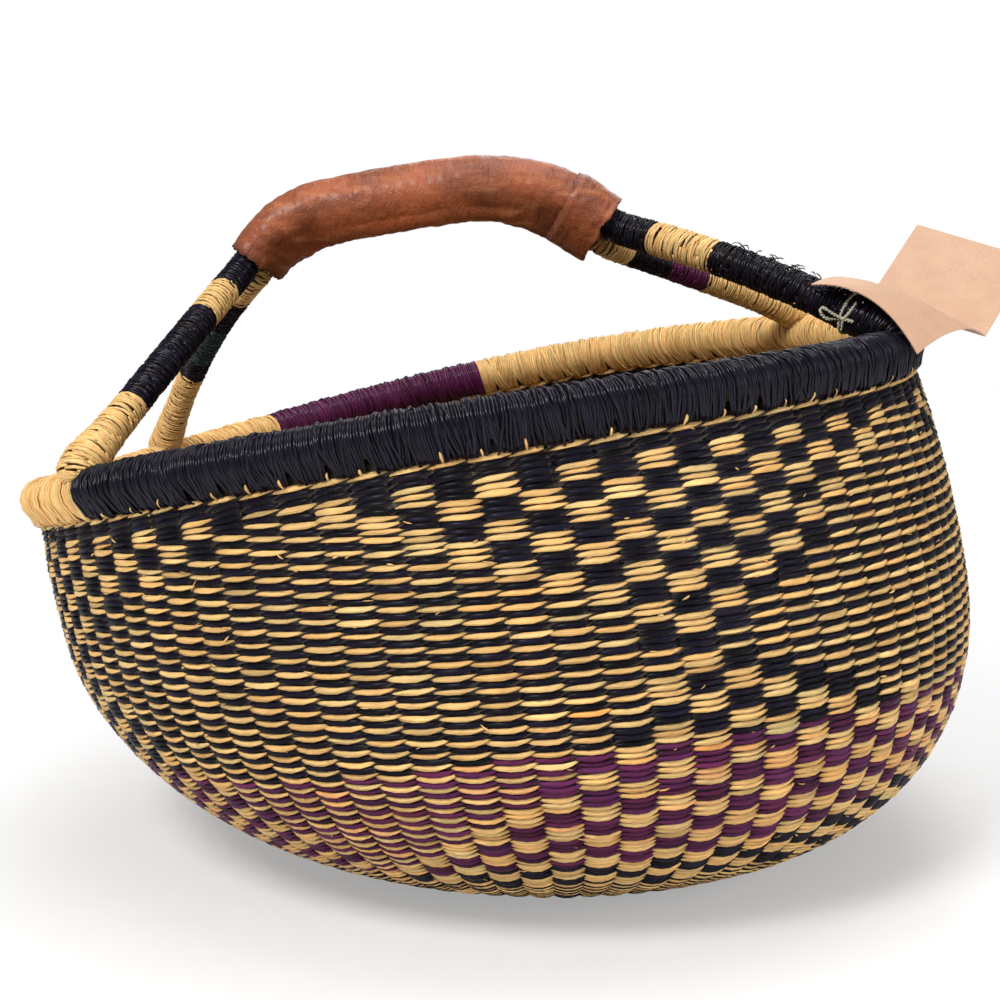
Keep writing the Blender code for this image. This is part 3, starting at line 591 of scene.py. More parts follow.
def ranged(tree, source, low, high, start=0.3, end=0.7):
    """A value from low to high as the source goes from start to end."""
    node = add_node(tree, "ShaderNodeMapRange", **{
        "From Min": start, "From Max": end, "To Min": low, "To Max": high})
    link(tree, source, node.inputs["Value"])
    return node.outputs["Result"]


def feed(tree, node, values):
    """Link each named or numbered socket of a node, or give it a number or a colour."""
    for name, value in values.items():
        if isinstance(value, bpy.types.NodeSocket):
            link(tree, value, node.inputs[name])
        else:
            plain = (*value, 1) if isinstance(value, tuple) else value
            node.inputs[name].default_value = plain


def math_node(tree, operation, first, second):
    node = add_node(tree, "ShaderNodeMath", operation=operation)
    feed(tree, node, {0: first, 1: second})
    return node.outputs[0]


def mixed(tree, share, first, second, blend="MIX"):
    """Two colours mixed. Each is a socket or a plain colour."""
    node = add_node(tree, "ShaderNodeMix", data_type="RGBA", blend_type=blend)
    feed(tree, node, {0: share, 6: first, 7: second})
    return node.outputs[2]


def layered(tree, body, *layers):
    """A colour under layers. Each has a pattern, its most, its start, its end and a colour."""
    for source, most, start, end, tint in layers:
        body = mixed(tree, ranged(tree, source, 0, most, start, end), body, tint)
    return body


def shaded(tint, share):
    """A tint made darker or lighter."""
    return tuple(min(value * share, 1) for value in tint)


def own_place(tree):
    return tree.nodes.new("ShaderNodeTexCoord").outputs["Object"]


def attribute(tree, name):
    return add_node(tree, "ShaderNodeAttribute", attribute_name=name)


def straw_fibres():
    """Lengthwise fibres and blotches of a dried grass straw."""
    if "Straw fibres" in bpy.data.node_groups:
        return bpy.data.node_groups["Straw fibres"]
    tree, entry, leave = new_group(
        "Straw fibres", [("v", "Place")], [("f", "Tone"), ("f", "Roughness"), ("f", "Height")])
    place = entry.outputs["Place"]
    fibre = stretched_noise(tree, place, (70, 3600, 3600), 3)
    blotch = stretched_noise(tree, place, (160, 420, 420), 2)
    ridge = stretched_noise(tree, place, (25, 1500, 1500), 1)
    feed(tree, leave, {
        "Tone": math_node(tree, "MULTIPLY", ranged(tree, fibre, 0.74, 1.14),
                          ranged(tree, blotch, 0.80, 1.12)),
        "Roughness": ranged(tree, blotch, 0.30, 0.52),
        "Height": math_node(tree, "ADD", ridge, math_node(tree, "MULTIPLY", fibre, 0.5))})
    return tree


def new_material(name):
    made = bpy.data.materials.new(name)
    made.use_nodes = True
    return made, made.node_tree, made.node_tree.nodes["Principled BSDF"]


def bump(tree, height, distance):
    node = add_node(tree, "ShaderNodeBump", Distance=distance, Strength=1.0)
    link(tree, height, node.inputs["Height"])
    return node.outputs["Normal"]


def straw_surface(tree, shader, place, tint, relief):
    """Straw fibres over a tint."""
    fibres = add_node(tree, "ShaderNodeGroup", node_tree=straw_fibres())
    link(tree, place, fibres.inputs["Place"])
    feed(tree, shader, {
        "Base Color": mixed(tree, 1.0, tint, fibres.outputs["Tone"], "MULTIPLY"),
        "Roughness": fibres.outputs["Roughness"],
        "Normal": bump(tree, fibres.outputs["Height"], relief)})


def straw_finish(name):
    """Dried straw in the dye that each copy carries."""
    coat, relief = STRAWS[name]
    made, tree, shader = new_material(name)
    straw_surface(tree, shader, attribute(tree, "strand").outputs["Vector"],
                  attribute(tree, "dye").outputs["Color"], relief)
    feed(tree, shader, {"Specular IOR Level": 0.07, "Coat Weight": coat, "Coat Roughness": 0.13})
    return made


def plain_straw_finish(name):
    """Straw seen only in the gaps, grained on the piece's own coordinates. The near-black tint is
    painted shade in those gaps.
    """
    made, tree, shader = new_material(name)
    straw_surface(tree, shader, own_place(tree), PLAIN_STRAWS[name], PLAIN_RELIEF)
    return made


def leather_finish(name):
    made, tree, shader = new_material(name)
    tint = tuple(colours().leather)
    dark = shaded(tint, 0.36)
    place = own_place(tree)
    patch = stretched_noise(tree, place, (38, 55, 55), 4)
    streak = stretched_noise(tree, place, (60, 240, 240), 3)
    scuff = stretched_noise(tree, place, (420, 700, 700), 4)
    crease = stretched_noise(tree, place, (520, 190, 190), 5)
    pores = add_node(tree, "ShaderNodeTexVoronoi", Scale=1150.0, feature="F1")
    link(tree, place, pores.inputs["Vector"])
    worn = math_node(tree, "MULTIPLY", attribute(tree, "wear").outputs["Fac"], 0.85)
    body = layered(tree, tint, (patch, 0.75, 0.36, 0.66, dark),
                   (streak, 0.55, 0.50, 0.72, PALE_LEATHER),
                   (scuff, 0.25, 0.58, 0.76, PALE_LEATHER))
    body = mixed(tree, worn, body, shaded(tint, 0.22))
    height = math_node(tree, "ADD", math_node(tree, "MULTIPLY", pores.outputs["Distance"], 0.35),
                       math_node(tree, "MULTIPLY", crease, 1.5))
    # Dark lines where the crease noise is high are painted shade in the leather's creases; the
    # same noise raises the bump.
    feed(tree, shader, {
        "Base Color": layered(tree, body, (crease, 0.55, 0.58, 0.74, dark)),
        "Roughness": ranged(tree, streak, 0.30, 0.58),
        "Normal": bump(tree, height, 0.0006),
        "Specular IOR Level": 0.30, "Coat Weight": 0.14, "Coat Roughness": 0.25})
    return made


def card_finish(name):
    made, tree, shader = new_material(name)
    tint = tuple(colours().card)
    place = own_place(tree)
    pulp = stretched_noise(tree, place, (900, 2400, 900), 4)
    cloud = stretched_noise(tree, place, (90, 90, 90), 2)
    fleck = stretched_noise(tree, place, (2600, 1300, 2600), 1)
    feed(tree, shader, {
        "Base Color": layered(tree, shaded(tint, 0.90), (pulp, 1, 0.35, 0.65, shaded(tint, 1.08)),
                              (cloud, 0.35, 0.3, 0.7, CARD_CLOUD),
                              (fleck, 0.6, 0.66, 0.74, CARD_FLECK)),
        "Roughness": ranged(tree, pulp, 0.55, 0.72),
        "Normal": bump(tree, pulp, 0.00008)})
    return made


def floor_finish(name):
    """A pale floor that turns to plain white away from the basket, for what looks at it."""
    made, tree, shader = new_material(name)
    place = own_place(tree)
    tint = tuple(colours().floor)
    grain = stretched_noise(tree, place, (30, 30, 30), 3)
    feed(tree, shader, {
        "Base Color": layered(tree, shaded(tint, 0.98), (grain, 1, 0.3, 0.7, tint)),
        "Roughness": 0.6, "Specular IOR Level": 0.2})
    away = add_node(tree, "ShaderNodeVectorMath", operation="LENGTH")
    link(tree, place, away.inputs[0])
    far = ranged(tree, away.outputs["Value"], 0.35, 1, 0.20, 0.62)
    seen = tree.nodes.new("ShaderNodeLightPath").outputs["Is Camera Ray"]
    plain = add_node(tree, "ShaderNodeEmission", Color=(1, 1, 1, 1), Strength=1.0)
    join = tree.nodes.new("ShaderNodeMixShader")
    feed(tree, join, {0: math_node(tree, "MULTIPLY", far, seen), 1: shader.outputs["BSDF"],
                      2: plain.outputs["Emission"]})
    link(tree, join.outputs["Shader"], tree.nodes["Material Output"].inputs["Surface"])
    return made


def finish_named(name, maker):
    """The material of that name, made when it is first asked for."""
    return bpy.data.materials.get(name) or maker(name)


def straw(name):
    return finish_named(name, straw_finish if name in STRAWS else plain_straw_finish)


# Weave

def wall_tables():
    """The wall's climb from the base's edge: heights w by length, and the length to the twine."""
    w = np.linspace(0, 2.2, LENGTH_STEPS)
    azimuth = np.arange(TABLE_COLUMNS) * TURN / TABLE_COLUMNS
    lines = wall(w[None, :], azimuth[:, None])
    steps = np.linalg.norm(np.diff(lines, axis=1), axis=-1)
    climbs = np.concatenate((np.zeros((TABLE_COLUMNS, 1)), np.cumsum(steps, 1)), 1)
    lengths = np.linspace(0, climbs.max(), LENGTH_STEPS)
    levels = np.array([np.interp(lengths, climb, w) for climb in climbs])
    tops = depth_level(TWINE_DEPTH + TWINE_HEIGHT / 2, azimuth)
    reach = np.array([np.interp(top, w, climb) for top, climb in zip(tops, climbs)])
    return azimuth, lengths, levels, reach


TABLE_AZIMUTH, TABLE_LENGTHS, TABLE_LEVELS, TABLE_REACH = wall_tables()


def reach_at(azimuth):
    """Length up the wall from the base's edge to the foot of the twine course."""
    return np.interp(azimuth % TURN, TABLE_AZIMUTH, TABLE_REACH, period=TURN)


def level_of(length, azimuth):
    """The height w at a length up the wall. Lengths below zero lie on the base."""
    turn = azimuth / TURN % 1 * TABLE_COLUMNS
    step = np.clip(length / TABLE_LENGTHS[1], 0, LENGTH_STEPS - 1.001)
    left, low = turn.astype(int) % TABLE_COLUMNS, step.astype(int)
    right, over, up = (left + 1) % TABLE_COLUMNS, turn - np.floor(turn), step - low
    near = TABLE_LEVELS[left, low] * (1 - up) + TABLE_LEVELS[left, low + 1] * up
    far = TABLE_LEVELS[right, low] * (1 - up) + TABLE_LEVELS[right, low + 1] * up
    return np.where(length > 0, near * (1 - over) + far * over, length / BASE_RADIUS)


def line_at(line, degrees):
    """Height share of a line given by its places round the wall."""
    places, heights = zip(*line)
    return np.interp(degrees, (*places, places[0] + 360), (*heights, heights[0]))


def wall_stitches():
    """Every stitch of the wall. Rows keep their length up the wall, and the last ones turn to
    follow the rim. A stitch lies at still + follow * reach."""
    pitch = sizes().row_pitch
    azimuth = (np.arange(STAKES) + 0.5) * COLUMN
    reach = reach_at(azimuth)
    rows = np.rint(reach / pitch).astype(int) - RIM_ROWS
    row, column = np.meshgrid(np.arange(rows.max() + RIM_ROWS), np.arange(STAKES), indexing="ij")
    made = row < (rows + RIM_ROWS)[column]
    row, column = row[made], column[made]
    steady = rows[column] - EASE_ROWS
    start = steady * pitch
    follow = np.clip((row + 0.5 - steady) / EASE_ROWS, 0, 1)
    above = np.clip(row + 0.5 - rows[column], 0, None)
    eased = start * (1 - follow) + (above - RIM_ROWS * follow) * pitch
    still = np.where(row < steady, (row + 0.5) * pitch, eased)
    squeezed = (reach[column] - RIM_ROWS * pitch - start) / EASE_ROWS
    high = np.where((row < steady) | (above > 0), pitch, squeezed)
    return {"row": row, "column": column, "azimuth": azimuth[column], "still": still,
            "follow": follow, "high": high, "half": np.full(len(row), COLUMN / 2),
            "below_top": rows[column] + RIM_ROWS - 1 - row}


def lengths_of(stitches):
    return stitches["still"] + stitches["follow"] * reach_at(stitches["azimuth"])


def weave_pattern(stitches, inside):
    """Which stitches are gold, and whether the dark ones are purple."""
    row = stitches["row"]
    column = stitches["column"] + (1 if inside else 0)
    azimuth = stitches["azimuth"]
    degrees = np.degrees(azimuth)
    degrees = np.where(degrees < PURPLE_FROM_LINE[0][0], degrees + 360, degrees)
    checked = stitches["below_top"] - DARK_TOP_ROWS
    block = checked // CHECK_ROWS
    middle = row + checked % CHECK_ROWS - CHECK_ROWS // 2
    height = share_of(level_of((middle + 0.5) * sizes().row_pitch, azimuth))
    striped = height < PLAIN_FOOT_SHARE
    for centre, half, level, up, down in DIAMONDS:
        off = np.abs((degrees - centre + 180) % 360 - 180) / half
        rise = np.abs(height - level) / np.where(height > level, up, down)
        striped |= off ** ROUNDING + rise ** ROUNDING < 1
    checks = (block + column) % 2 == 0
    gold = np.where(striped, row % 2 == 0, checks) & (checked >= 0)
    own = share_of(level_of(lengths_of(stitches), azimuth))
    purple = (own > line_at(PURPLE_FROM_LINE, degrees)) & (own < line_at(PURPLE_TO_LINE, degrees))
    return gold, purple


def dyed(gold, purple, rng):
    """The colour of each stitch, with the small differences of hand-dyed straw."""
    tints = colours()
    base = np.where(gold[:, None], np.array(tints.gold), np.array(tints.navy))
    base = np.where((purple & ~gold)[:, None], np.array(tints.purple), base)
    spread = np.where(gold, GOLD_SPREAD, DARK_SPREAD)[:, None]
    tone = np.clip(rng.normal(1, 1, (len(base), 1)) * spread + 1 - spread, *DYE_TONES)
    stained = (purple & gold & (rng.random(len(base)) < STAINED_SHARE))[:, None]
    warm = rng.normal(0, WARMTH_SPREAD, (len(base), 1)) * np.array([WARMER])
    stain = np.where(stained, np.array(STAINED_TINT), 1.0)
    return np.clip(base * tone * (1 + warm) * stain, 0.003, 1)


def lay_stitches(name, pattern, stitches, dye, inside, seed):
    """Copies of a stitch at their places on the wall, bent over their stakes."""
    corners, faces = pattern
    still, follow, high, azimuth, half = (
        stitches[key][:, None] for key in ("still", "follow", "high", "azimuth", "half"))
    rng = np.random.default_rng(seed)
    count = len(still)
    jitter = rng.normal(0, 1, (7, count, 1))
    x, y, z = corners.T
    facing = -1 if inside else 1
    height = np.clip(lengths_of(stitches)[:, None] / TABLE_REACH.mean(), 0, 1)
    lean = LEAN_OF_TIPS * (1 + LEAN_SPREAD * jitter[0])
    across = x + SHIFT_SPREAD * jitter[1] + facing * lean * y
    ends = facing * np.sign(x) * np.abs(x) ** 3
    sag = LOW_SAG + (HIGH_SAG - LOW_SAG) * height + SAG_SPREAD * jitter[2]
    climb = TIP_CLIMB * (1 + CLIMB_SPREAD * jitter[3]) * ends
    climb = climb + sag * (x ** 2 - 0.33) + LIFT_SPREAD * jitter[4]
    wide = np.where(np.abs(x) < 0.9, 1 + WIDTH_SPREAD * jitter[5], 1)
    spin = azimuth + across * half * (STITCH_LAP + LAP_SPREAD * jitter[6])
    length = still + follow * reach_at(spin) + (climb + 0.5 * wide * y) * high
    level = level_of(length, spin)
    radius = np.linalg.norm(wall(level, spin)[..., :2], axis=-1)
    short = np.clip(half * radius / LONG_STITCH, SHORTEST_STITCH, 1)
    tip = np.clip(np.abs(across), 0, TIP_REACH)
    depth = -STITCH_SINK - sizes().stitch_bulge * short * tip ** TIP_DIVE
    depth = depth + DEPTH_SPREAD * jitter[5] - y * STITCH_LEAN
    if inside:
        depth = -WALL - depth
    thick = STITCH_THICKNESS * (1 + THICKNESS_SPREAD * jitter[4])
    places = on_wall(level, spin, depth + z * thick * facing)
    strand = np.stack((x * LONG_STITCH + rng.uniform(0, GRAIN_SHIFT, (count, 1)),
                       np.broadcast_to(y * sizes().row_pitch / 2, (count, len(x))) + seed,
                       np.broadcast_to(z * thick, (count, len(x)))), -1)
    return copies(name, faces, places, dye, strand, straw("woven straw"))


def stitch_ring(count, still, follow, high):
    """The places of one ring of stitches, as many as the stakes that it crosses."""
    ones = np.ones(count)
    return {"azimuth": (np.arange(count) + 0.5) * TURN / count, "still": still * ones,
            "follow": follow * ones, "high": high * ones, "half": math.pi / count * ones}


def base_stitches(seed):
    """Rings of stitches under and over the round base. Fewer stakes reach its middle."""
    rings = []
    pitch = sizes().row_pitch
    for number in range(int(BASE_RADIUS / pitch) - 1):
        depth = pitch * (number + 0.5)
        count = STAKES
        while TURN * (BASE_RADIUS - depth) / count < CLOSEST_STAKES and count > FEWEST_STAKES:
            count //= 2
        ring = stitch_ring(count, -depth, 0, pitch)
        rings.append({**ring, "gold": np.full(count, number % 4 != 1)})
    stitches = {key: np.concatenate([ring[key] for ring in rings]) for key in rings[0]}
    gold = stitches["gold"]
    return stitches, dyed(gold, np.zeros(len(gold), bool), np.random.default_rng(seed))


def dress(piece, body, slot, *nodes):
    """Give a piece its body and the solids that it stands for; its material slot is not used. A
    piece that is blended between two bodies has no body of its own."""
    if body:
        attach(piece, body)
    if nodes:
        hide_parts(*nodes)
    return piece


def weave_side(inside):
    """The wall's stitches, outside or inside, in pieces that match the CAD bands."""
    stitches = wall_stitches()
    gold, purple = weave_pattern(stitches, inside)
    dye = dyed(gold, purple, np.random.default_rng(12 if inside else 11))
    share = share_of(level_of(lengths_of(stitches), stitches["azimuth"]))
    side = "inner" if inside else "outer"
    pattern = stitch_pattern(5, 4) if inside else stitch_pattern(6, 6)
    for i, (name, top, node, slot) in enumerate(BANDS):
        bottom = BANDS[i - 1][1] if i else 0
        mine = (share >= bottom) & (share < top)
        part = {key: values[mine] for key, values in stitches.items()}
        made = lay_stitches(f"{name}_{side}", pattern, part, dye[mine], inside, 31 + i)
        dress(made, "basket", slot, f"{node}_{side}")


def twine_course(inside):
    """The first course under the rim, all of it in gold straw."""
    side = "inner" if inside else "outer"
    stitches = stitch_ring(STAKES, TWINE_HEIGHT / 2, 1, TWINE_HEIGHT)
    gold = np.full(STAKES, True)
    dye = dyed(gold, ~gold, np.random.default_rng(5))
    made = lay_stitches(f"twine_course_{side}", stitch_pattern(6, 6), stitches, dye, inside, 6)
    dress(made, "basket", "natural_straw", f"top_twine_{side}")


def painted_shade_lining():
    """The crossing strands in the middle of the wall, which close the gaps between stitches, as
    one sheet of near-black straw that is painted shade in those gaps.
    """
    made = new_grid("weft_crossings_in_painted_shade", STAKES * 2, LINING_ROWS)
    points = np.empty(len(made.data.vertices) * 3, np.float32)
    made.data.vertices.foreach_get("co", points)
    points = points.reshape(-1, 3)
    spin = (points[:, 0] + 1) * math.pi
    high = depth_level(RIM_TUBE * 0.6, spin)
    w = LINING_FROM + (high - LINING_FROM) * (points[:, 1] + 1) / 2
    depth = -WALL / 2 + LINING_WAVE * np.sin(spin * STAKES) * (w > 0)
    made.data.vertices.foreach_set("co", on_wall(w, spin, depth).astype(np.float32).ravel())
    made.data.update()
    bpy.ops.object.mode_set(mode="EDIT")
    bpy.ops.mesh.select_all(action="SELECT")
    bpy.ops.mesh.remove_doubles(threshold=0.00005)
    face_outward()
    thicken(made, LINING_THICKNESS, offset=0)
    bpy.ops.object.shade_smooth()
    # Near-black straw: painted shade in the gaps between stitches.
    made.data.materials.append(straw("painted shade straw"))
    dress(made, "basket", "plain_straw")


def slivers(name, slot, start, end, over, bow, width, dye, seed):
    """Short curved bits of straw, thin at both ends, from start to end points."""
    rings = SLIVER_STEPS + 1
    t = np.linspace(0, 1, rings)[None, :, None]
    lift = 4 * t * (1 - t)
    path = start[:, None] * (1 - t) + end[:, None] * t + over[:, None] * lift * bow[:, None, None]
    side = unit(np.cross(unit(end - start), over))
    taper = 0.25 + 0.75 * np.sin(math.pi * np.linspace(0.08, 0.92, rings))
    paths = path, np.repeat(side[:, None], rings, 1), np.repeat(over[:, None], rings, 1)
    made = straw_piece(name, paths, 4, width, width * 0.5, dye, seed, "woven straw", taper)
    dress(made, "basket", slot)


def frayed_bits():
    """Loose bits of undyed straw between the rows, and in the notches under the rim."""
    rng = np.random.default_rng(77)
    stitches = wall_stitches()
    count = FRAYED_BITS
    chosen = rng.integers(len(stitches["row"]) // 8, len(stitches["row"]), count)
    high = stitches["high"][chosen]
    spin = stitches["azimuth"][chosen] + rng.uniform(-0.5, 0.5, count) * COLUMN
    length = stitches["still"][chosen] + stitches["follow"][chosen] * reach_at(spin)
    length += high * (0.5 + rng.normal(0, 0.08, count))
    turn = rng.uniform(0.0006, 0.0022, count) / BELLY_RADIUS
    tilt = high * rng.normal(0, 0.22, count)
    start = on_wall(level_of(length - tilt, spin - turn), spin - turn, np.full(count, -0.0010))
    end = on_wall(level_of(length + tilt, spin + turn), spin + turn, np.full(count, -0.0006))
    around, upward = wall_slopes(level_of(length, spin), spin)
    width = rng.uniform(0.0003, 0.0009, count)
    bow = rng.uniform(0.0002, 0.0008, count)
    slivers("frayed_bits", "natural_straw", start, end, unit(np.cross(around, upward)), bow,
            width, tinted(colours().gold, count, rng, 0.12, 0.05), 78)
    count = NOTCH_BITS
    stakes = np.sort(rng.choice(STAKES, count, replace=False))
    azimuth = (stakes + 0.5 + rng.normal(0, 0.05, count)) * COLUMN
    middle, outward, upward, around = rim_frame(azimuth)
    length = rng.uniform(0.0012, 0.0034, count)[:, None]
    lean = rng.normal(0, 0.0007, count)[:, None]
    start = middle + outward * 0.0030 - upward * TWINE_DEPTH
    end = middle + outward * 0.0058 - upward * (STRAW_END_DEPTH - length) + around * lean
    width = rng.uniform(0.0008, 0.0015, count)
    slivers("notch_bits", "natural_straw", start, end, outward, np.full(count, 0.0012), width,
            tinted(colours().gold, count, rng, 0.1, 0.05), 79)


class BASKET_OT_weave_outside(bpy.types.Operator):
    """Weave the outside of the wall, stitch by stitch, with its twine course"""
    bl_idname = "basket.weave_outside"
    bl_label = "Weave outside"

    def execute(self, context):
        weave_side(False)
        twine_course(False)
        painted_shade_lining()
        frayed_bits()
        return {"FINISHED"}


class BASKET_OT_weave_inside(bpy.types.Operator):
    """Weave the inside of the wall, stitch by stitch, with its twine course"""
    bl_idname = "basket.weave_inside"
    bl_label = "Weave inside"

    def execute(self, context):
        weave_side(True)
        twine_course(True)
        return {"FINISHED"}


class BASKET_OT_weave_base(bpy.types.Operator):
    """Weave the round base, under and over, and finish the stakes"""
    bl_idname = "basket.weave_base"
    bl_label = "Weave base"

    def execute(self, context):
        stitches, dye = base_stitches(3)
        for name, sides, inside in (("under", 6, False), ("over", 5, True)):
            made = lay_stitches(f"base_stitches_{name}", stitch_pattern(sides, 4), stitches, dye,
                                inside, 4)
            dress(made, "basket", "mixed_weave", "woven_base")
        deselect()
        bpy.ops.mesh.primitive_uv_sphere_add(segments=24, ring_count=12, radius=1)
        button = bpy.context.object
        button.name = button.data.name = "base_button"
        button.scale = (BUTTON_RADIUS, BUTTON_RADIUS, WALL / 2)
        button.location = (0, 0, WALL / 2)
        bpy.ops.object.transform_apply(location=True, rotation=True, scale=True)
        bpy.ops.object.shade_smooth()
        core = straw("bundled stems")
        button.data.materials.append(core)
        dress(button, "basket", "natural_straw")
        for name in ("warp_stakes", "rim_core", "front_bow_core", "rear_bow_core"):
            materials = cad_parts[name].data.materials
            materials.clear()
            materials.append(core)
        return {"FINISHED"}


# Rim

def rim_straws(start, end, rng):
    """Paths of the straws round the rim, from outside under it to inside under it."""
    pitch = sizes().straw_width * RIM_PITCH_SHARE / (TOP_RADIUS + 0.5 * RIM_TUBE)
    close = int((end - start) / pitch)
    azimuth = start + (np.arange(close) + 0.5) * (end - start) / close
    inset = SLANT * pitch
    loose = rng.uniform(start + inset, end - inset, int(close * LOOSE_SHARE))
    azimuth = np.concatenate((azimuth, loose))
    count = len(azimuth)
    over = (np.arange(count) >= close)[:, None]
    radius = RIM_TUBE - RIM_STRAW_SINK
    tube = np.stack((radius * np.cos(RIM_WRAP), radius * np.sin(RIM_WRAP)), -1)
    stake = np.floor(azimuth / COLUMN) * COLUMN
    off = (azimuth - stake) / COLUMN - 0.5
    gap = np.where(off > 0, stake + COLUMN, stake)
    near = 1 - (2 * np.abs(off)) ** NOTCH_POWER
    deep = NOTCH_RISE * near - STRAW_END_DEPTH + rng.normal(0, 0.00015, count)
    ends = np.stack([np.stack((np.full(count, out), deep + rise), -1)
                     for out, rise in STRAW_ENDS], 1)
    inner_ends = ends[:, ::-1] * np.array([-1, 1])
    sections = np.concatenate((ends, np.tile(tube, (count, 1, 1)), inner_ends), 1)
    t = np.linspace(0, 1, sections.shape[1])[None, :]
    own = rng.uniform(0, TURN, (3, count, 1))
    drift = azimuth[:, None] * 23 + 2 * np.sin(azimuth[:, None] * 41)
    wave = 0.0020 * np.sin(TURN * 1.1 * t + drift) + 0.0010 * np.sin(TURN * 2.3 * t + 2 * drift)
    wave = wave + np.where(over, LOOSE_SWAY, CLOSE_SWAY) * np.sin(TURN * 1.4 * t + own[0])
    lift = (np.where(over, LOOSE_LIFT, 0) + 0.00020 * np.sin(TURN * 2.6 * t + own[1])
            + rng.normal(0, 0.00014, (count, 1)))
    pinch = np.clip((np.abs(t - 0.5) - 0.26) / 0.24, 0, 1) ** 1.8 * PINCH
    slant = (0.5 - t) * np.where(over, rng.normal(SLANT, 5, (count, 1)), SLANT) * pitch
    spin = azimuth[:, None] + slant + wave + pinch * (gap - azimuth)[:, None]
    middle, outward, upward, around = rim_frame(spin)
    facing = np.concatenate((RIM_WRAP[[0, 0]] + 0.1, RIM_WRAP, RIM_WRAP[[-1, -1]] - 0.1))
    cos, sin = np.cos(facing)[None, :, None], np.sin(facing)[None, :, None]
    out = unit(outward * cos + upward * sin)
    path = (middle + outward * sections[..., :1] + upward * sections[..., 1:]
            + out * lift[..., None])
    return path, around, out


def bind(name, tint, paths, make, dye, rng, seed, node):
    """Wound straws in place of a solid. make gives their width, its spread and thickness."""
    share, spread, thickness = make
    count = len(paths[0])
    width = sizes().straw_width * share * (1 + rng.normal(0, spread, count))
    if dye is None:
        dye = bound_tint(tint, count, rng)
    made = straw_piece(name, paths, 5, width, np.full(count, thickness), dye, seed,
                       "binding straw")
    dress(made, "basket", SLOTS[tint], node)


class BASKET_OT_bind_rim(bpy.types.Operator):
    """Wind the straws round the rim, in its four stretches of colour"""
    bl_idname = "basket.bind_rim"
    bl_label = "Bind rim"

    def execute(self, context):
        for i, (name, start, end, tint) in enumerate(RIM_COLOURS):
            rng = np.random.default_rng(50 + i)
            paths = rim_straws(math.radians(start), math.radians(end), rng)
            bind(f"rim_straws_{name}", tint, paths, RIM_STRAW, None, rng, 60 + i,
                 f"rim_wrap_{name}")
        return {"FINISHED"}


# Handle

def smooth_through(points, steps):
    """Catmull-Rom curve through points, with a number of steps between each two."""
    ends = [points[0] * 2 - points[1]] + points + [points[-1] * 2 - points[-2]]
    curve = []
    for i in range(1, len(ends) - 2):
        before, start, end, after = ends[i - 1:i + 3]
        for j in range(steps):
            t = j / steps
            curve.append((
                start * 2
                + (end - before) * t
                + (before * 2 - start * 5 + end * 4 - after) * t ** 2
                + (start * 3 - before - end * 3 + after) * t ** 3
            ) / 2)
    return curve + [points[-1]]


def lengths_along(points):
    """Length from the first of some points to each."""
    total = [0.0]
    for a, b in zip(points, points[1:]):
        total.append(total[-1] + (b - a).length)
    return total


def place_at(total, length):
    """A length along a line as a point's number and the share of the way to the next."""
    for i in range(len(total) - 1):
        if length <= total[i + 1]:
            return i + (length - total[i]) / (total[i + 1] - total[i])
    return len(total) - 1


def point_at(points, place):
    """The point of a line at such a place."""
    first = min(int(place), len(points) - 2)
    return points[first].lerp(points[first + 1], place - first)


GRIP_CURVE = [over_rim(*(spot + Vector((GRIP_MIDDLE, 0, 0)))) for spot in smooth_through(
    [Vector((GRIP_REACH * x, 0, HANDLE_RISE * z)) for x, z in GRIP_ARCH], GRIP_STEPS)]
GRIP_LENGTHS = lengths_along(GRIP_CURVE)


def grip_line(u):
    """The middle of the grip, at a share of its length from the left."""
    return point_at(GRIP_CURVE, place_at(GRIP_LENGTHS, u * GRIP_LENGTHS[-1]))


def grip_frame(u):
    """Middle of the grip, its upward direction, and the angle of the pair of bundles."""
    step = 0.004
    low = min(max(u - step, 0), 1 - 2 * step)
    along = (grip_line(low + 2 * step) - grip_line(low)).normalized()
    swing = math.sin(math.pi * u) ** 2
    flat = LEFT_TWIST * (1 - u) + RIGHT_TWIST * u
    twist = flat + (MIDDLE_TWIST - (LEFT_TWIST + RIGHT_TWIST) / 2) * swing
    return grip_line(u), Vector((0, -1, 0)).cross(along), twist


def end_share(u):
    """1 near the ends of the grip and 0 over its middle."""
    t = min(max((min(u, 1 - u) - 2 * LEATHER_FROM) / GRIP_TAPER, 0), 1)
    return (1 - t) ** 2 * (1 + 2 * t)


def pair_spacing(u):
    """Half the distance between the two bundles in the grip."""
    left = (LEGS["front_left"][0] + LEGS["rear_left"][0]) / 2 + BUNDLE_GAP
    right = (LEGS["front_right"][0] + LEGS["rear_right"][0]) / 2 + BUNDLE_GAP
    middle = BUNDLE_RADIUS + BUNDLE_GAP / 2
    return middle + ((left if u < 0.5 else right) - middle) * end_share(u)


def grip_point(side, u):
    """The middle of the front bundle in the grip, or with side 1 of the rear one."""
    middle, rise, twist = grip_frame(u)
    pair = Vector((0, math.cos(twist), 0)) + rise * math.sin(twist)
    return middle + pair * (side * pair_spacing(u))


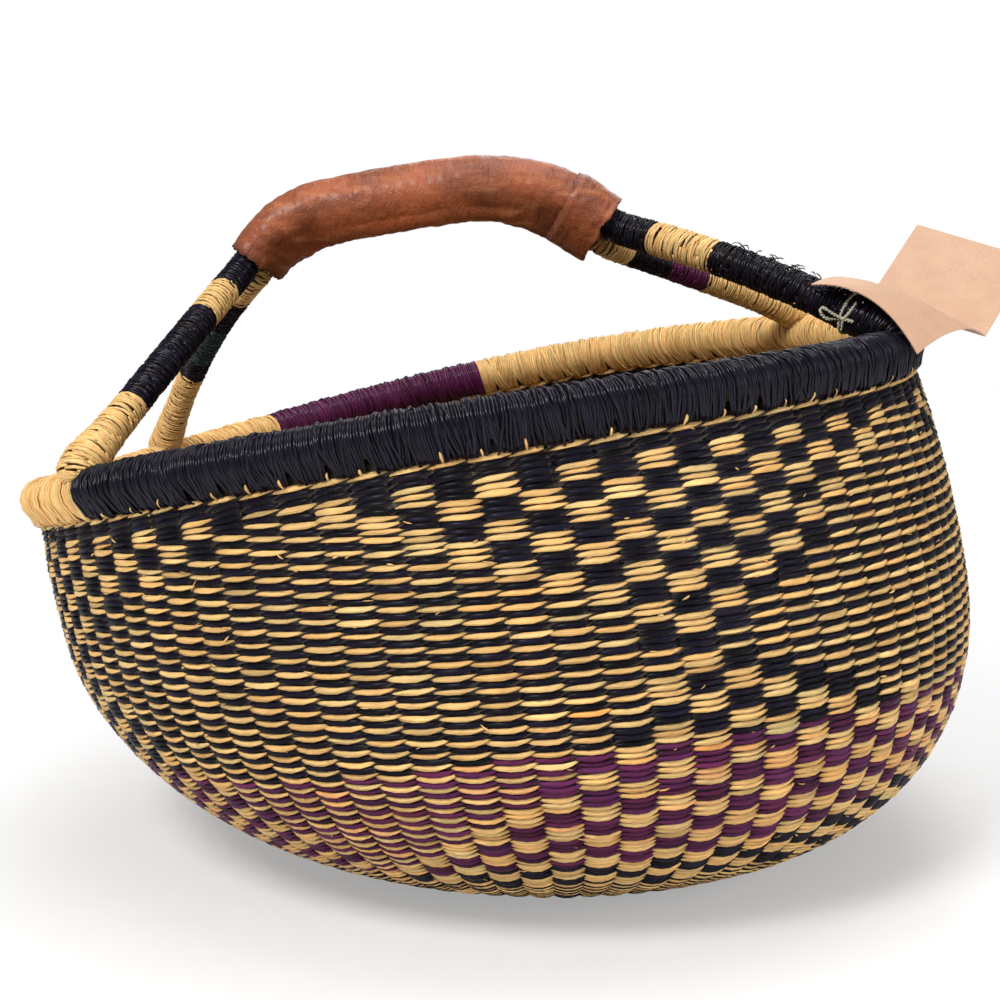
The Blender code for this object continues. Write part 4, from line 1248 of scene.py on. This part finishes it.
def leg_line(leg):
    """Middle line of one leg, from inside the rim to inside the end of the leather."""
    _, bow, foot = LEGS[leg]
    side = -1 if leg.startswith("front") else 1
    span = 1 - 2 * LEATHER_FROM
    stations = [LEATHER_FROM + span * i / GRIP_STEPS for i in range(3)]
    right = leg.endswith("right")
    if right:
        stations = [1 - u for u in stations]
    middle, _, upward, _ = rim_frame(math.radians(foot))
    seat = Vector(middle) + Vector(upward) * FOOT_LIFT
    corner = grip_point(side, int(right))
    mouth = grip_point(side, stations[0])
    line = corner - seat
    back = seat - line.normalized() * (FOOT_OVERRUN + FOOT_TUCK)
    points = [back.lerp(Vector(middle), FOOT_TURN_IN)]
    bend = 1 - LEG_BEND / line.length
    for i in range(LEG_STEPS + 1):
        t = bend * i / LEG_STEPS
        points.append(seat + line * t + RIM_Z * (4 * bow * t * (1 - t)))
    start = points[-1]
    for i in range(1, BEND_STEPS):
        t = i / BEND_STEPS
        points.append(start.lerp(corner, t).lerp(corner.lerp(mouth, t), t))
    reach = len(points)
    points += [grip_point(side, u) for u in stations]
    return points, lengths_along(points)[reach] + LEATHER_LAP


LEG_COLOURS = {
    "front_left": (("foot_natural", 0.27, "gold"), ("low_black", 0.68, "navy"),
                   ("mid_natural", 0.82, "gold"), ("top_black", 1.0, "navy")),
    "rear_left": (("foot_natural", 0.37, "gold"), ("low_black", 0.455, "navy"),
                  ("mid_green", 0.64, "green"), ("high_black", 0.81, "navy"),
                  ("top_natural", 1.0, "gold")),
    "front_right": (("foot_black", 0.565, "navy"), ("mid_natural", 0.786, "gold"),
                    ("top_black", 1.0, "navy")),
    "rear_right": (("foot_natural", 0.49, "gold"), ("mid_purple", 0.666, "purple"),
                   ("high_black", 0.833, "navy"), ("top_natural", 1.0, "gold")),
}
FOOT_FLARE = 0.0026
FOOT_FLARE_LENGTH = 0.024
LEG_PITCH_SHARE = 0.95
LEG_STRAW_SINK = 0.0003
FOOT_TURNS = 12
CAP_TURNS = 15
TURN_STEPS = 14
LINE_STEPS = 6
OBLIQUE = (0.35, 0.90, 0.20)


def steady_frames(points):
    """Tangent and two square directions along a line, carried along without twist."""
    points = np.asarray(points, float)
    along = unit(np.gradient(points, axis=0))
    sides = np.zeros_like(points)
    side = np.cross(along[0], OBLIQUE)
    for i, direction in enumerate(along):
        side = side - direction * side.dot(direction)
        side /= np.linalg.norm(side)
        sides[i] = side
    return along, sides, np.cross(sides, along)


def along_line(place, lengths, values):
    """What a line has at some lengths, from its values at its own points."""
    return np.stack([np.interp(place, lengths, values[:, k]) for k in range(3)], -1)


def wound_turns(line, lengths, radii, start, end, rng):
    """Turns of straw round a line between two lengths: paths and their out directions."""
    along, side, rise = steady_frames(line)
    pitch = sizes().straw_width * LEG_PITCH_SHARE
    count = max(int((end - start) / pitch), 1)
    base = start + (np.arange(count) + 0.2) * (end - start) / count
    if start == 0:
        cap = FOOT_TUCK * (1 - np.cos(np.linspace(0.06, 1, CAP_TURNS) * QUARTER))
        extra = rng.uniform(FOOT_TUCK, FOOT_FLARE_LENGTH, FOOT_TURNS)
        base = np.concatenate((base[base > FOOT_TUCK], cap, extra))
        count = len(base)
    angle = np.linspace(0, TURN, TURN_STEPS + 1)[None, :]
    phase = rng.uniform(0, TURN, (2, count, 1))
    wave = 0.00050 * np.sin(angle + phase[0]) + 0.00020 * np.sin(angle * 2 + phase[1])
    calm = np.clip(base[:, None] / FOOT_TUCK, 0.1, 1)
    place = base[:, None] + (pitch * angle / TURN + wave) * calm
    turn = angle + rng.uniform(0, TURN, (count, 1))
    line, side, rise, tangent = (along_line(place, lengths, values)
                                 for values in (line, side, rise, along))
    sides, rises, tangent = unit(side), unit(rise), unit(tangent)
    out = sides * np.cos(turn)[..., None] + rises * np.sin(turn)[..., None]
    lift = 0.00016 * np.sin(angle * 3 + phase[1]) + rng.normal(0, 0.00010, (count, 1))
    fall = np.clip(1 - place / FOOT_TUCK, 0, 1)
    rounding = np.sqrt(1 - fall ** 2)
    radius = np.interp(place, lengths, radii) * rounding - LEG_STRAW_SINK + lift
    fall, rounding = fall[..., None], rounding[..., None]
    return (line + out * radius[..., None], tangent * rounding + out * fall,
            out * rounding - tangent * fall)


def loose_ends():
    """Short ends of black straw that stand off the top of the front right leg."""
    rng = np.random.default_rng(66)
    points, reach = leg_line("front_right")
    line = np.array(smooth_through(points, LINE_STEPS), float)
    lengths = lengths_along([Vector(point) for point in line])
    count = LOOSE_ENDS
    place = rng.uniform(0.16, 0.56, count) * reach
    middle = along_line(place, lengths, line)
    along = unit(along_line(place + 0.001, lengths, line) - middle)
    side = unit(np.cross(along, np.array((0.0, 0.0, 1.0))))
    angle = rng.normal(0, 0.7, count)[:, None]
    out = side * np.sin(angle) + np.cross(side, along) * np.cos(angle)
    start = middle + out * (LEGS["front_right"][0] + 0.0002)
    length = rng.uniform(0.0022, 0.0050, count)[:, None]
    end = start + along * length * rng.choice((-1, 1), count)[:, None]
    end += out * rng.uniform(0.0006, 0.0020, count)[:, None]
    dye = tinted(colours().navy, count, rng, 0.2)
    bow = rng.uniform(0.0003, 0.0009, count)
    width = rng.uniform(0.0009, 0.0014, count)
    slivers("loose_ends", "black_straw", start, end, out, bow, width, dye, 67)


class BASKET_OT_bind_legs(bpy.types.Operator):
    """Wind the coloured straws up the four legs of the handle"""
    bl_idname = "basket.bind_legs"
    bl_label = "Bind legs"

    def execute(self, context):
        for number, (leg, bands) in enumerate(LEG_COLOURS.items()):
            points, reach = leg_line(leg)
            line = smooth_through(points, LINE_STEPS)
            lengths = lengths_along(line)
            flare = FOOT_FLARE * np.exp(-(np.array(lengths) / FOOT_FLARE_LENGTH) ** 2)
            radii = LEGS[leg][0] + flare
            line = np.array(line, float)
            start = 0.0
            for i, (band, top, tint) in enumerate(bands):
                rng = np.random.default_rng(80 + 10 * number + i)
                end = FOOT_TUCK + (reach - FOOT_TUCK) * top
                paths = wound_turns(line, lengths, radii, start, end, rng)
                dye = bound_tint(tint, len(paths[0]), rng)
                seed = 90 + 10 * number + i
                bind(f"{leg}_straws_{band}", tint, paths, LEG_STRAW, dye,
                     np.random.default_rng(seed), seed, f"{leg}_{band}")
                start = end
        loose_ends()
        return {"FINISHED"}


# Leather

def leather_offset(u, angle, grow):
    """Reach of the leather from the middle of the grip, in one direction round it."""
    side = "left" if u < 0.5 else "right"
    leg = max(LEGS[f"front_{side}"][0], LEGS[f"rear_{side}"][0])
    _, rise, twist = grip_frame(u)
    level = Vector((0, 1, 0))
    end = end_share(u)
    round_part = GRIP_BORE + (leg + LEATHER_GAP - GRIP_BORE) * end + grow
    hug = math.cos(angle - twist) / math.cos(LEATHER_HUG)
    pair = level * math.cos(twist) + rise * math.sin(twist)
    reach = min(max(hug, -1), 1) * pair_spacing(u) * end
    return (level * math.cos(angle) + rise * math.sin(angle)) * round_part + pair * reach


# Angle round the grip, place along it, spread both ways and strength of each dark stain.
STAINS = ((3.75, 0.655, 0.30, 0.035, 0.75), (4.05, 0.58, 0.28, 0.060, 0.30),
          (3.70, 0.115, 0.35, 0.030, 0.55), (4.10, 0.17, 0.35, 0.060, 0.40),
          (1.78, 0.78, 0.10, 0.130, 0.80), (4.00, 0.84, 0.40, 0.040, 0.45))


def leather_sheet(name, first, last, lift, lap, ragged, columns, seed):
    """A sheet of leather rolled round the grip, lapped at the front and torn at its ends."""
    made = new_grid(name, columns, LEATHER_ROWS)
    depth = sizes().wrinkle_depth
    wear = []
    for point in made.data.vertices:
        s, a = (point.co.x + 1) / 2, (point.co.y + 1) / 2
        angle = SEAM_ANGLE + (TURN + lap) * a
        end = min(s, 1 - s)
        tear = noise.noise(Vector((angle * 1.9, seed + (3 if s > 0.5 else 0), 0)))
        fray = noise.noise(Vector((angle * 7, seed, 5)))
        pull = (tear * 1.2 + fray * 0.7) * ragged * max(1 - end * 12, 0)
        u = first + (last - first) * s + (pull if s < 0.5 else -pull)
        u = min(max(u, 0.012), 0.988)
        spot = Vector((u * 22, math.cos(angle) * 1.1, math.sin(angle) * 1.1 + seed))
        folds = noise.noise(spot) * 0.9 + 0.5 * noise.noise(spot * 2.7)
        ring = Vector((u * 60, math.cos(angle) * 0.8, math.sin(angle) * 0.8 + seed))
        folds += 0.85 * noise.noise(ring) * (1 - end)
        over = max((a - 0.90) / 0.10, 0)
        step = LEATHER * LAP_STEP * min(over * 1.6, 1)
        edge = math.sin(min(over, 1) * math.pi) * LAP_EDGE
        sunk = min(lift, EDGE_SINK) * max(1 - s * 7, 0)
        grow = lift + LEATHER + depth * folds + step + edge - sunk
        point.co = grip_line(u) + leather_offset(u, angle, grow)
        stain = 0.0
        for across, along_grip, round_grip, wide, strong in STAINS:
            turned = (1 - math.cos(angle - across)) * 2 / round_grip ** 2
            stain += strong * math.exp(-turned - ((u - along_grip) / wide) ** 2)
        worn = max(1 - end * 26, 0) * 0.8 + max((a - 0.985) * 50, 0)
        wear.append(min(worn + stain, 1))
    made.data.attributes.new("wear", "FLOAT", "POINT").data.foreach_set("value", wear)
    finish = finish_named("worn tan leather", leather_finish)
    return finish_sheet(made, LEATHER, LEATHER_FOLD, finish, even=True)


class BASKET_OT_roll_leather(bpy.types.Operator):
    """Roll the leather round the grip, and its second strip round the right end"""
    bl_idname = "basket.roll_leather"
    bl_label = "Roll leather"

    def execute(self, context):
        sheet = leather_sheet("leather_sheet", 0.035, 0.955, 0.0, math.radians(34), 0.013, 220,
                              1.0)
        strip = leather_sheet("leather_strip", 0.862, 0.972, LEATHER + 0.0003, math.radians(20),
                              0.009, 60, 9.0)
        dress(sheet, "basket", "tan_leather", "leather_grip")
        dress(strip, "basket", "tan_leather", "leather_end_strip")
        return {"FINISHED"}


# Card and thread

def card_leaf(name, place):
    """A thin card whose grid is placed by a function of its across and up shares."""
    made = new_grid(name, CARD_STEPS, CARD_STEPS)
    for point in made.data.vertices:
        point.co = place((point.co.x + 1) / 2, (point.co.y + 1) / 2)
    return finish_sheet(made, CARD, CARD_FOLD, finish_named("bare kraft card", card_finish))


def back_leaf_frame():
    """A corner of the back leaf on the crease, with its full reach across and up."""
    left, right = over_rim(*CREASE_LEFT), over_rim(*CREASE_RIGHT)
    across = right - left
    up = over_rim(*BACK_LEAF_LEFT) - left
    up -= across * (up.dot(across) / across.length_squared)
    return left, across, up


def card_hole_place():
    """The middle of the hole in the back leaf."""
    left, across, up = back_leaf_frame()
    return left + across * CARD_HOLE_ACROSS + up * CARD_HOLE_UP


def back_leaf():
    """The leaf behind the crease, with a hole for the thread."""
    left, across, up = back_leaf_frame()
    start = up.normalized() * CREASE_GAP / 2
    square = across.cross(up).normalized()

    def place(u, v):
        curl = 0.0004 * math.sin(3.0 * u + 2.0 * v) * v
        return left + start + across * u + (up - start) * v + square * curl

    made = card_leaf("card_back_leaf", place)
    deselect()
    bpy.ops.mesh.primitive_cylinder_add(vertices=32, radius=CARD_HOLE, depth=0.006)
    cutter = bpy.context.object
    cutter.rotation_mode = "QUATERNION"
    cutter.rotation_quaternion = square.to_track_quat("Z", "Y")
    cutter.location = card_hole_place()
    cut = made.modifiers.new("hole", "BOOLEAN")
    cut.operation = "DIFFERENCE"
    cut.solver = "EXACT"
    cut.object = cutter
    bpy.context.view_layer.objects.active = made
    bpy.ops.object.modifier_apply(modifier=cut.name)
    bpy.data.objects.remove(cutter)
    return made


def front_leaf():
    """The leaf before the crease, arched and drooping a little."""
    left, right = over_rim(*CREASE_LEFT), over_rim(*CREASE_RIGHT)
    outer_left, outer_right = over_rim(*FRONT_LEAF_LEFT), over_rim(*FRONT_LEAF_RIGHT)
    square = (right - left).cross(outer_left - left).normalized()
    rise_up = -square if square.z < 0 else square

    def place(u, v):
        trim = CREASE_GAP / 2 / (outer_left - left).length * (1 - v)
        inner = left.lerp(right, u)
        outer = outer_left.lerp(outer_right, u)
        rise = CARD_ARCH * 4 * v * (1 - v) + CARD_DROOP * 4 * u * (1 - u) * v
        return inner.lerp(outer, v + trim) + rise_up * rise

    return card_leaf("card_front_leaf", place)


def thread_place():
    """Where the thread goes round the leg, with the direction of the leg from its top."""
    points, reach = leg_line("front_right")
    place = place_at(lengths_along(points), FOOT_TUCK + (reach - FOOT_TUCK) * THREAD_LEG_SHARE)
    first = int(place)
    return point_at(points, place), (points[first] - points[first + 1]).normalized()


def thread_strands(points, steps):
    """Two yarns twisted round each other along a line: paths and out directions."""
    line = np.array(smooth_through(points, steps), float)
    along, side, rise = steady_frames(line)
    length = np.concatenate(([0], np.cumsum(np.linalg.norm(np.diff(line, axis=0), axis=1))))
    paths, outs = [], []
    for start in (0, math.pi):
        angle = (length * THREAD_TWIST * TURN + start)[:, None]
        out = side * np.cos(angle) + rise * np.sin(angle)
        paths.append(line + out * THREAD_RADIUS * 0.5)
        outs.append(out)
    return np.array(paths), np.array([np.cross(along, o) for o in outs]), np.array(outs)


def yarn(name, body, points, steps, seed, *nodes):
    """Thread of two yarns along a line."""
    paths = thread_strands(points, steps)
    width = np.full(2, THREAD_RADIUS * 1.15)
    dye = tinted(THREAD_TINT, 2, np.random.default_rng(seed), 0.05)
    made = straw_piece(name, paths, 6, width, width, dye, seed, "twisted thread")
    return dress(made, body, "hemp_thread", *nodes)


# The knot's bow and loose ends, as places right of the loop's middle and above it
THREAD_ENDS = (
    ((-0.0005, -0.0050), (-0.0060, -0.0018), (-0.0112, 0.0016), (-0.0128, 0.0002),
     (-0.0095, -0.0030), (-0.0004, -0.0052)),
    ((-0.0031, -0.0083), (-0.0006, -0.0054), (0.0024, -0.0028), (0.0052, 0.0018)),
    ((-0.0012, -0.0044), (0.0018, -0.0058), (0.0046, -0.0070)),
)


def on_leg(middle, along, radius, right, up):
    """A place on the front of the leg, right of a point of its middle line and above it."""
    offset = Vector((right, 0, up))
    near = along * offset.dot(along)
    off = offset - near
    front = Vector((0, -1, 0))
    front = (front - along * front.dot(along)).normalized()
    off -= front * off.dot(front)
    rise = math.sqrt(max(radius ** 2 - off.length_squared, 0)) + THREAD_RADIUS
    return middle + near + off + front * rise


class BASKET_OT_hang_card(bpy.types.Operator):
    """Hang the folded card on its thread from the front right leg"""
    bl_idname = "basket.hang_card"
    bl_label = "Hang card"

    def execute(self, context):
        dress(back_leaf(), "tag", "kraft_card", "tag_back_leaf")
        dress(front_leaf(), "tag_front", "kraft_card", "tag_front_leaf")
        middle, along = thread_place()
        toward = over_rim(*THREAD_UNDER_CREASE) - middle
        toward = (toward - along * toward.dot(along)).normalized()
        side = along.cross(toward)
        radius = LEGS["front_right"][0] + THREAD_RADIUS + THREAD_GAP
        loop = []
        for i in range(LOOP_STEPS + 1):
            angle = TURN * (1 - i / LOOP_STEPS) + TURN / 4
            turned = toward * math.cos(angle) + side * math.sin(angle)
            climb = LOOP_CLIMB * (0.5 - i / LOOP_STEPS)
            loop.append(middle + turned * radius + along * climb)
        yarn("thread_loop", "basket", loop, 4, 70, "tag_thread_loop")
        for number, marks in enumerate(THREAD_ENDS):
            yarn(f"thread_end_{number + 1}", "basket",
                 [on_leg(middle, along, radius, *mark) for mark in marks], 6, 74 + number)
        knot = loop[-1]
        under = over_rim(*THREAD_UNDER_CREASE)
        _, across, up = back_leaf_frame()
        out = across.cross(up).normalized() * THREAD_BACK
        hole = card_hole_place()
        start = knot + (under - knot).normalized() * (THREAD_RADIUS + BUNDLE_GAP)
        tail = yarn("thread_tail", None, [start, under, hole - out, hole + out], 16, 71,
                    "tag_thread_tail")
        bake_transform(tail)
        return {"FINISHED"}


# Stage

class BASKET_OT_set_stage(bpy.types.Operator):
    """Set the pale floor, the soft lights and the camera"""
    bl_idname = "basket.set_stage"
    bl_label = "Set stage"

    def execute(self, context):
        scene = context.scene
        deselect()
        bpy.ops.mesh.primitive_circle_add(vertices=96, radius=6, fill_type="NGON")
        floor = context.object
        floor.name = floor.data.name = "stage_floor"
        floor.data.materials.append(finish_named("pale floor", floor_finish))
        world = bpy.data.worlds.new("soft room")
        world.use_nodes = True
        scene.world = world
        tree = world.node_tree
        seen = tree.nodes.new("ShaderNodeLightPath").outputs["Is Camera Ray"]
        feed(tree, tree.nodes["Background"], {
            "Color": (1, 1, 1), "Strength": ranged(tree, seen, ROOM_LIGHT, 1.0, 0, 1)})
        for name, (place, size, power) in LAMPS.items():
            lamp = bpy.data.lights.new(name, "AREA")
            lamp.energy = power
            lamp.size = size
            made = bpy.data.objects.new(name, lamp)
            made.location = place
            made.rotation_euler = (LAMP_AIM - Vector(place)).to_track_quat("-Z", "Y").to_euler()
            scene.collection.objects.link(made)
        eye = bpy.data.cameras.new("camera")
        eye.lens = CAMERA_LENS
        eye.sensor_width = 36
        eye.clip_start = 0.01
        camera = bpy.data.objects.new("camera", eye)
        camera.location = CAMERA_PLACE
        camera.rotation_euler = (QUARTER - CAMERA_DROP, 0, 0)
        scene.collection.objects.link(camera)
        scene.camera = camera
        scene.view_settings.view_transform = "Standard"
        return {"FINISHED"}


class BASKET_PT_panel(bpy.types.Panel):
    bl_label = "Basket"
    bl_idname = "BASKET_PT_panel"
    bl_space_type = "VIEW_3D"
    bl_region_type = "UI"
    bl_category = "Basket"

    def draw(self, context):
        layout = self.layout
        for group in (context.scene.basket_sizes, context.scene.basket_colours):
            for name in group.__annotations__:
                layout.prop(group, name)
        for operator in OPERATORS:
            layout.operator(operator.bl_idname)


OPERATORS = (
    BASKET_OT_weave_outside,
    BASKET_OT_weave_inside,
    BASKET_OT_weave_base,
    BASKET_OT_bind_rim,
    BASKET_OT_bind_legs,
    BASKET_OT_roll_leather,
    BASKET_OT_hang_card,
    BASKET_OT_set_stage,
)
CLASSES = (BasketSizes, BasketColours) + OPERATORS + (BASKET_PT_panel,)


def register():
    for made in CLASSES:
        bpy.utils.register_class(made)
    bpy.types.Scene.basket_sizes = bpy.props.PointerProperty(type=BasketSizes)
    bpy.types.Scene.basket_colours = bpy.props.PointerProperty(type=BasketColours)


def unregister():
    del bpy.types.Scene.basket_colours
    del bpy.types.Scene.basket_sizes
    for made in reversed(CLASSES):
        bpy.utils.unregister_class(made)


def main():
    register()
    bpy.ops.basket.weave_outside()
    bpy.ops.basket.weave_inside()
    bpy.ops.basket.weave_base()
    bpy.ops.basket.bind_rim()
    bpy.ops.basket.bind_legs()
    bpy.ops.basket.roll_leather()
    bpy.ops.basket.hang_card()
    bpy.ops.basket.set_stage()


if __name__ == "__main__":
    main()
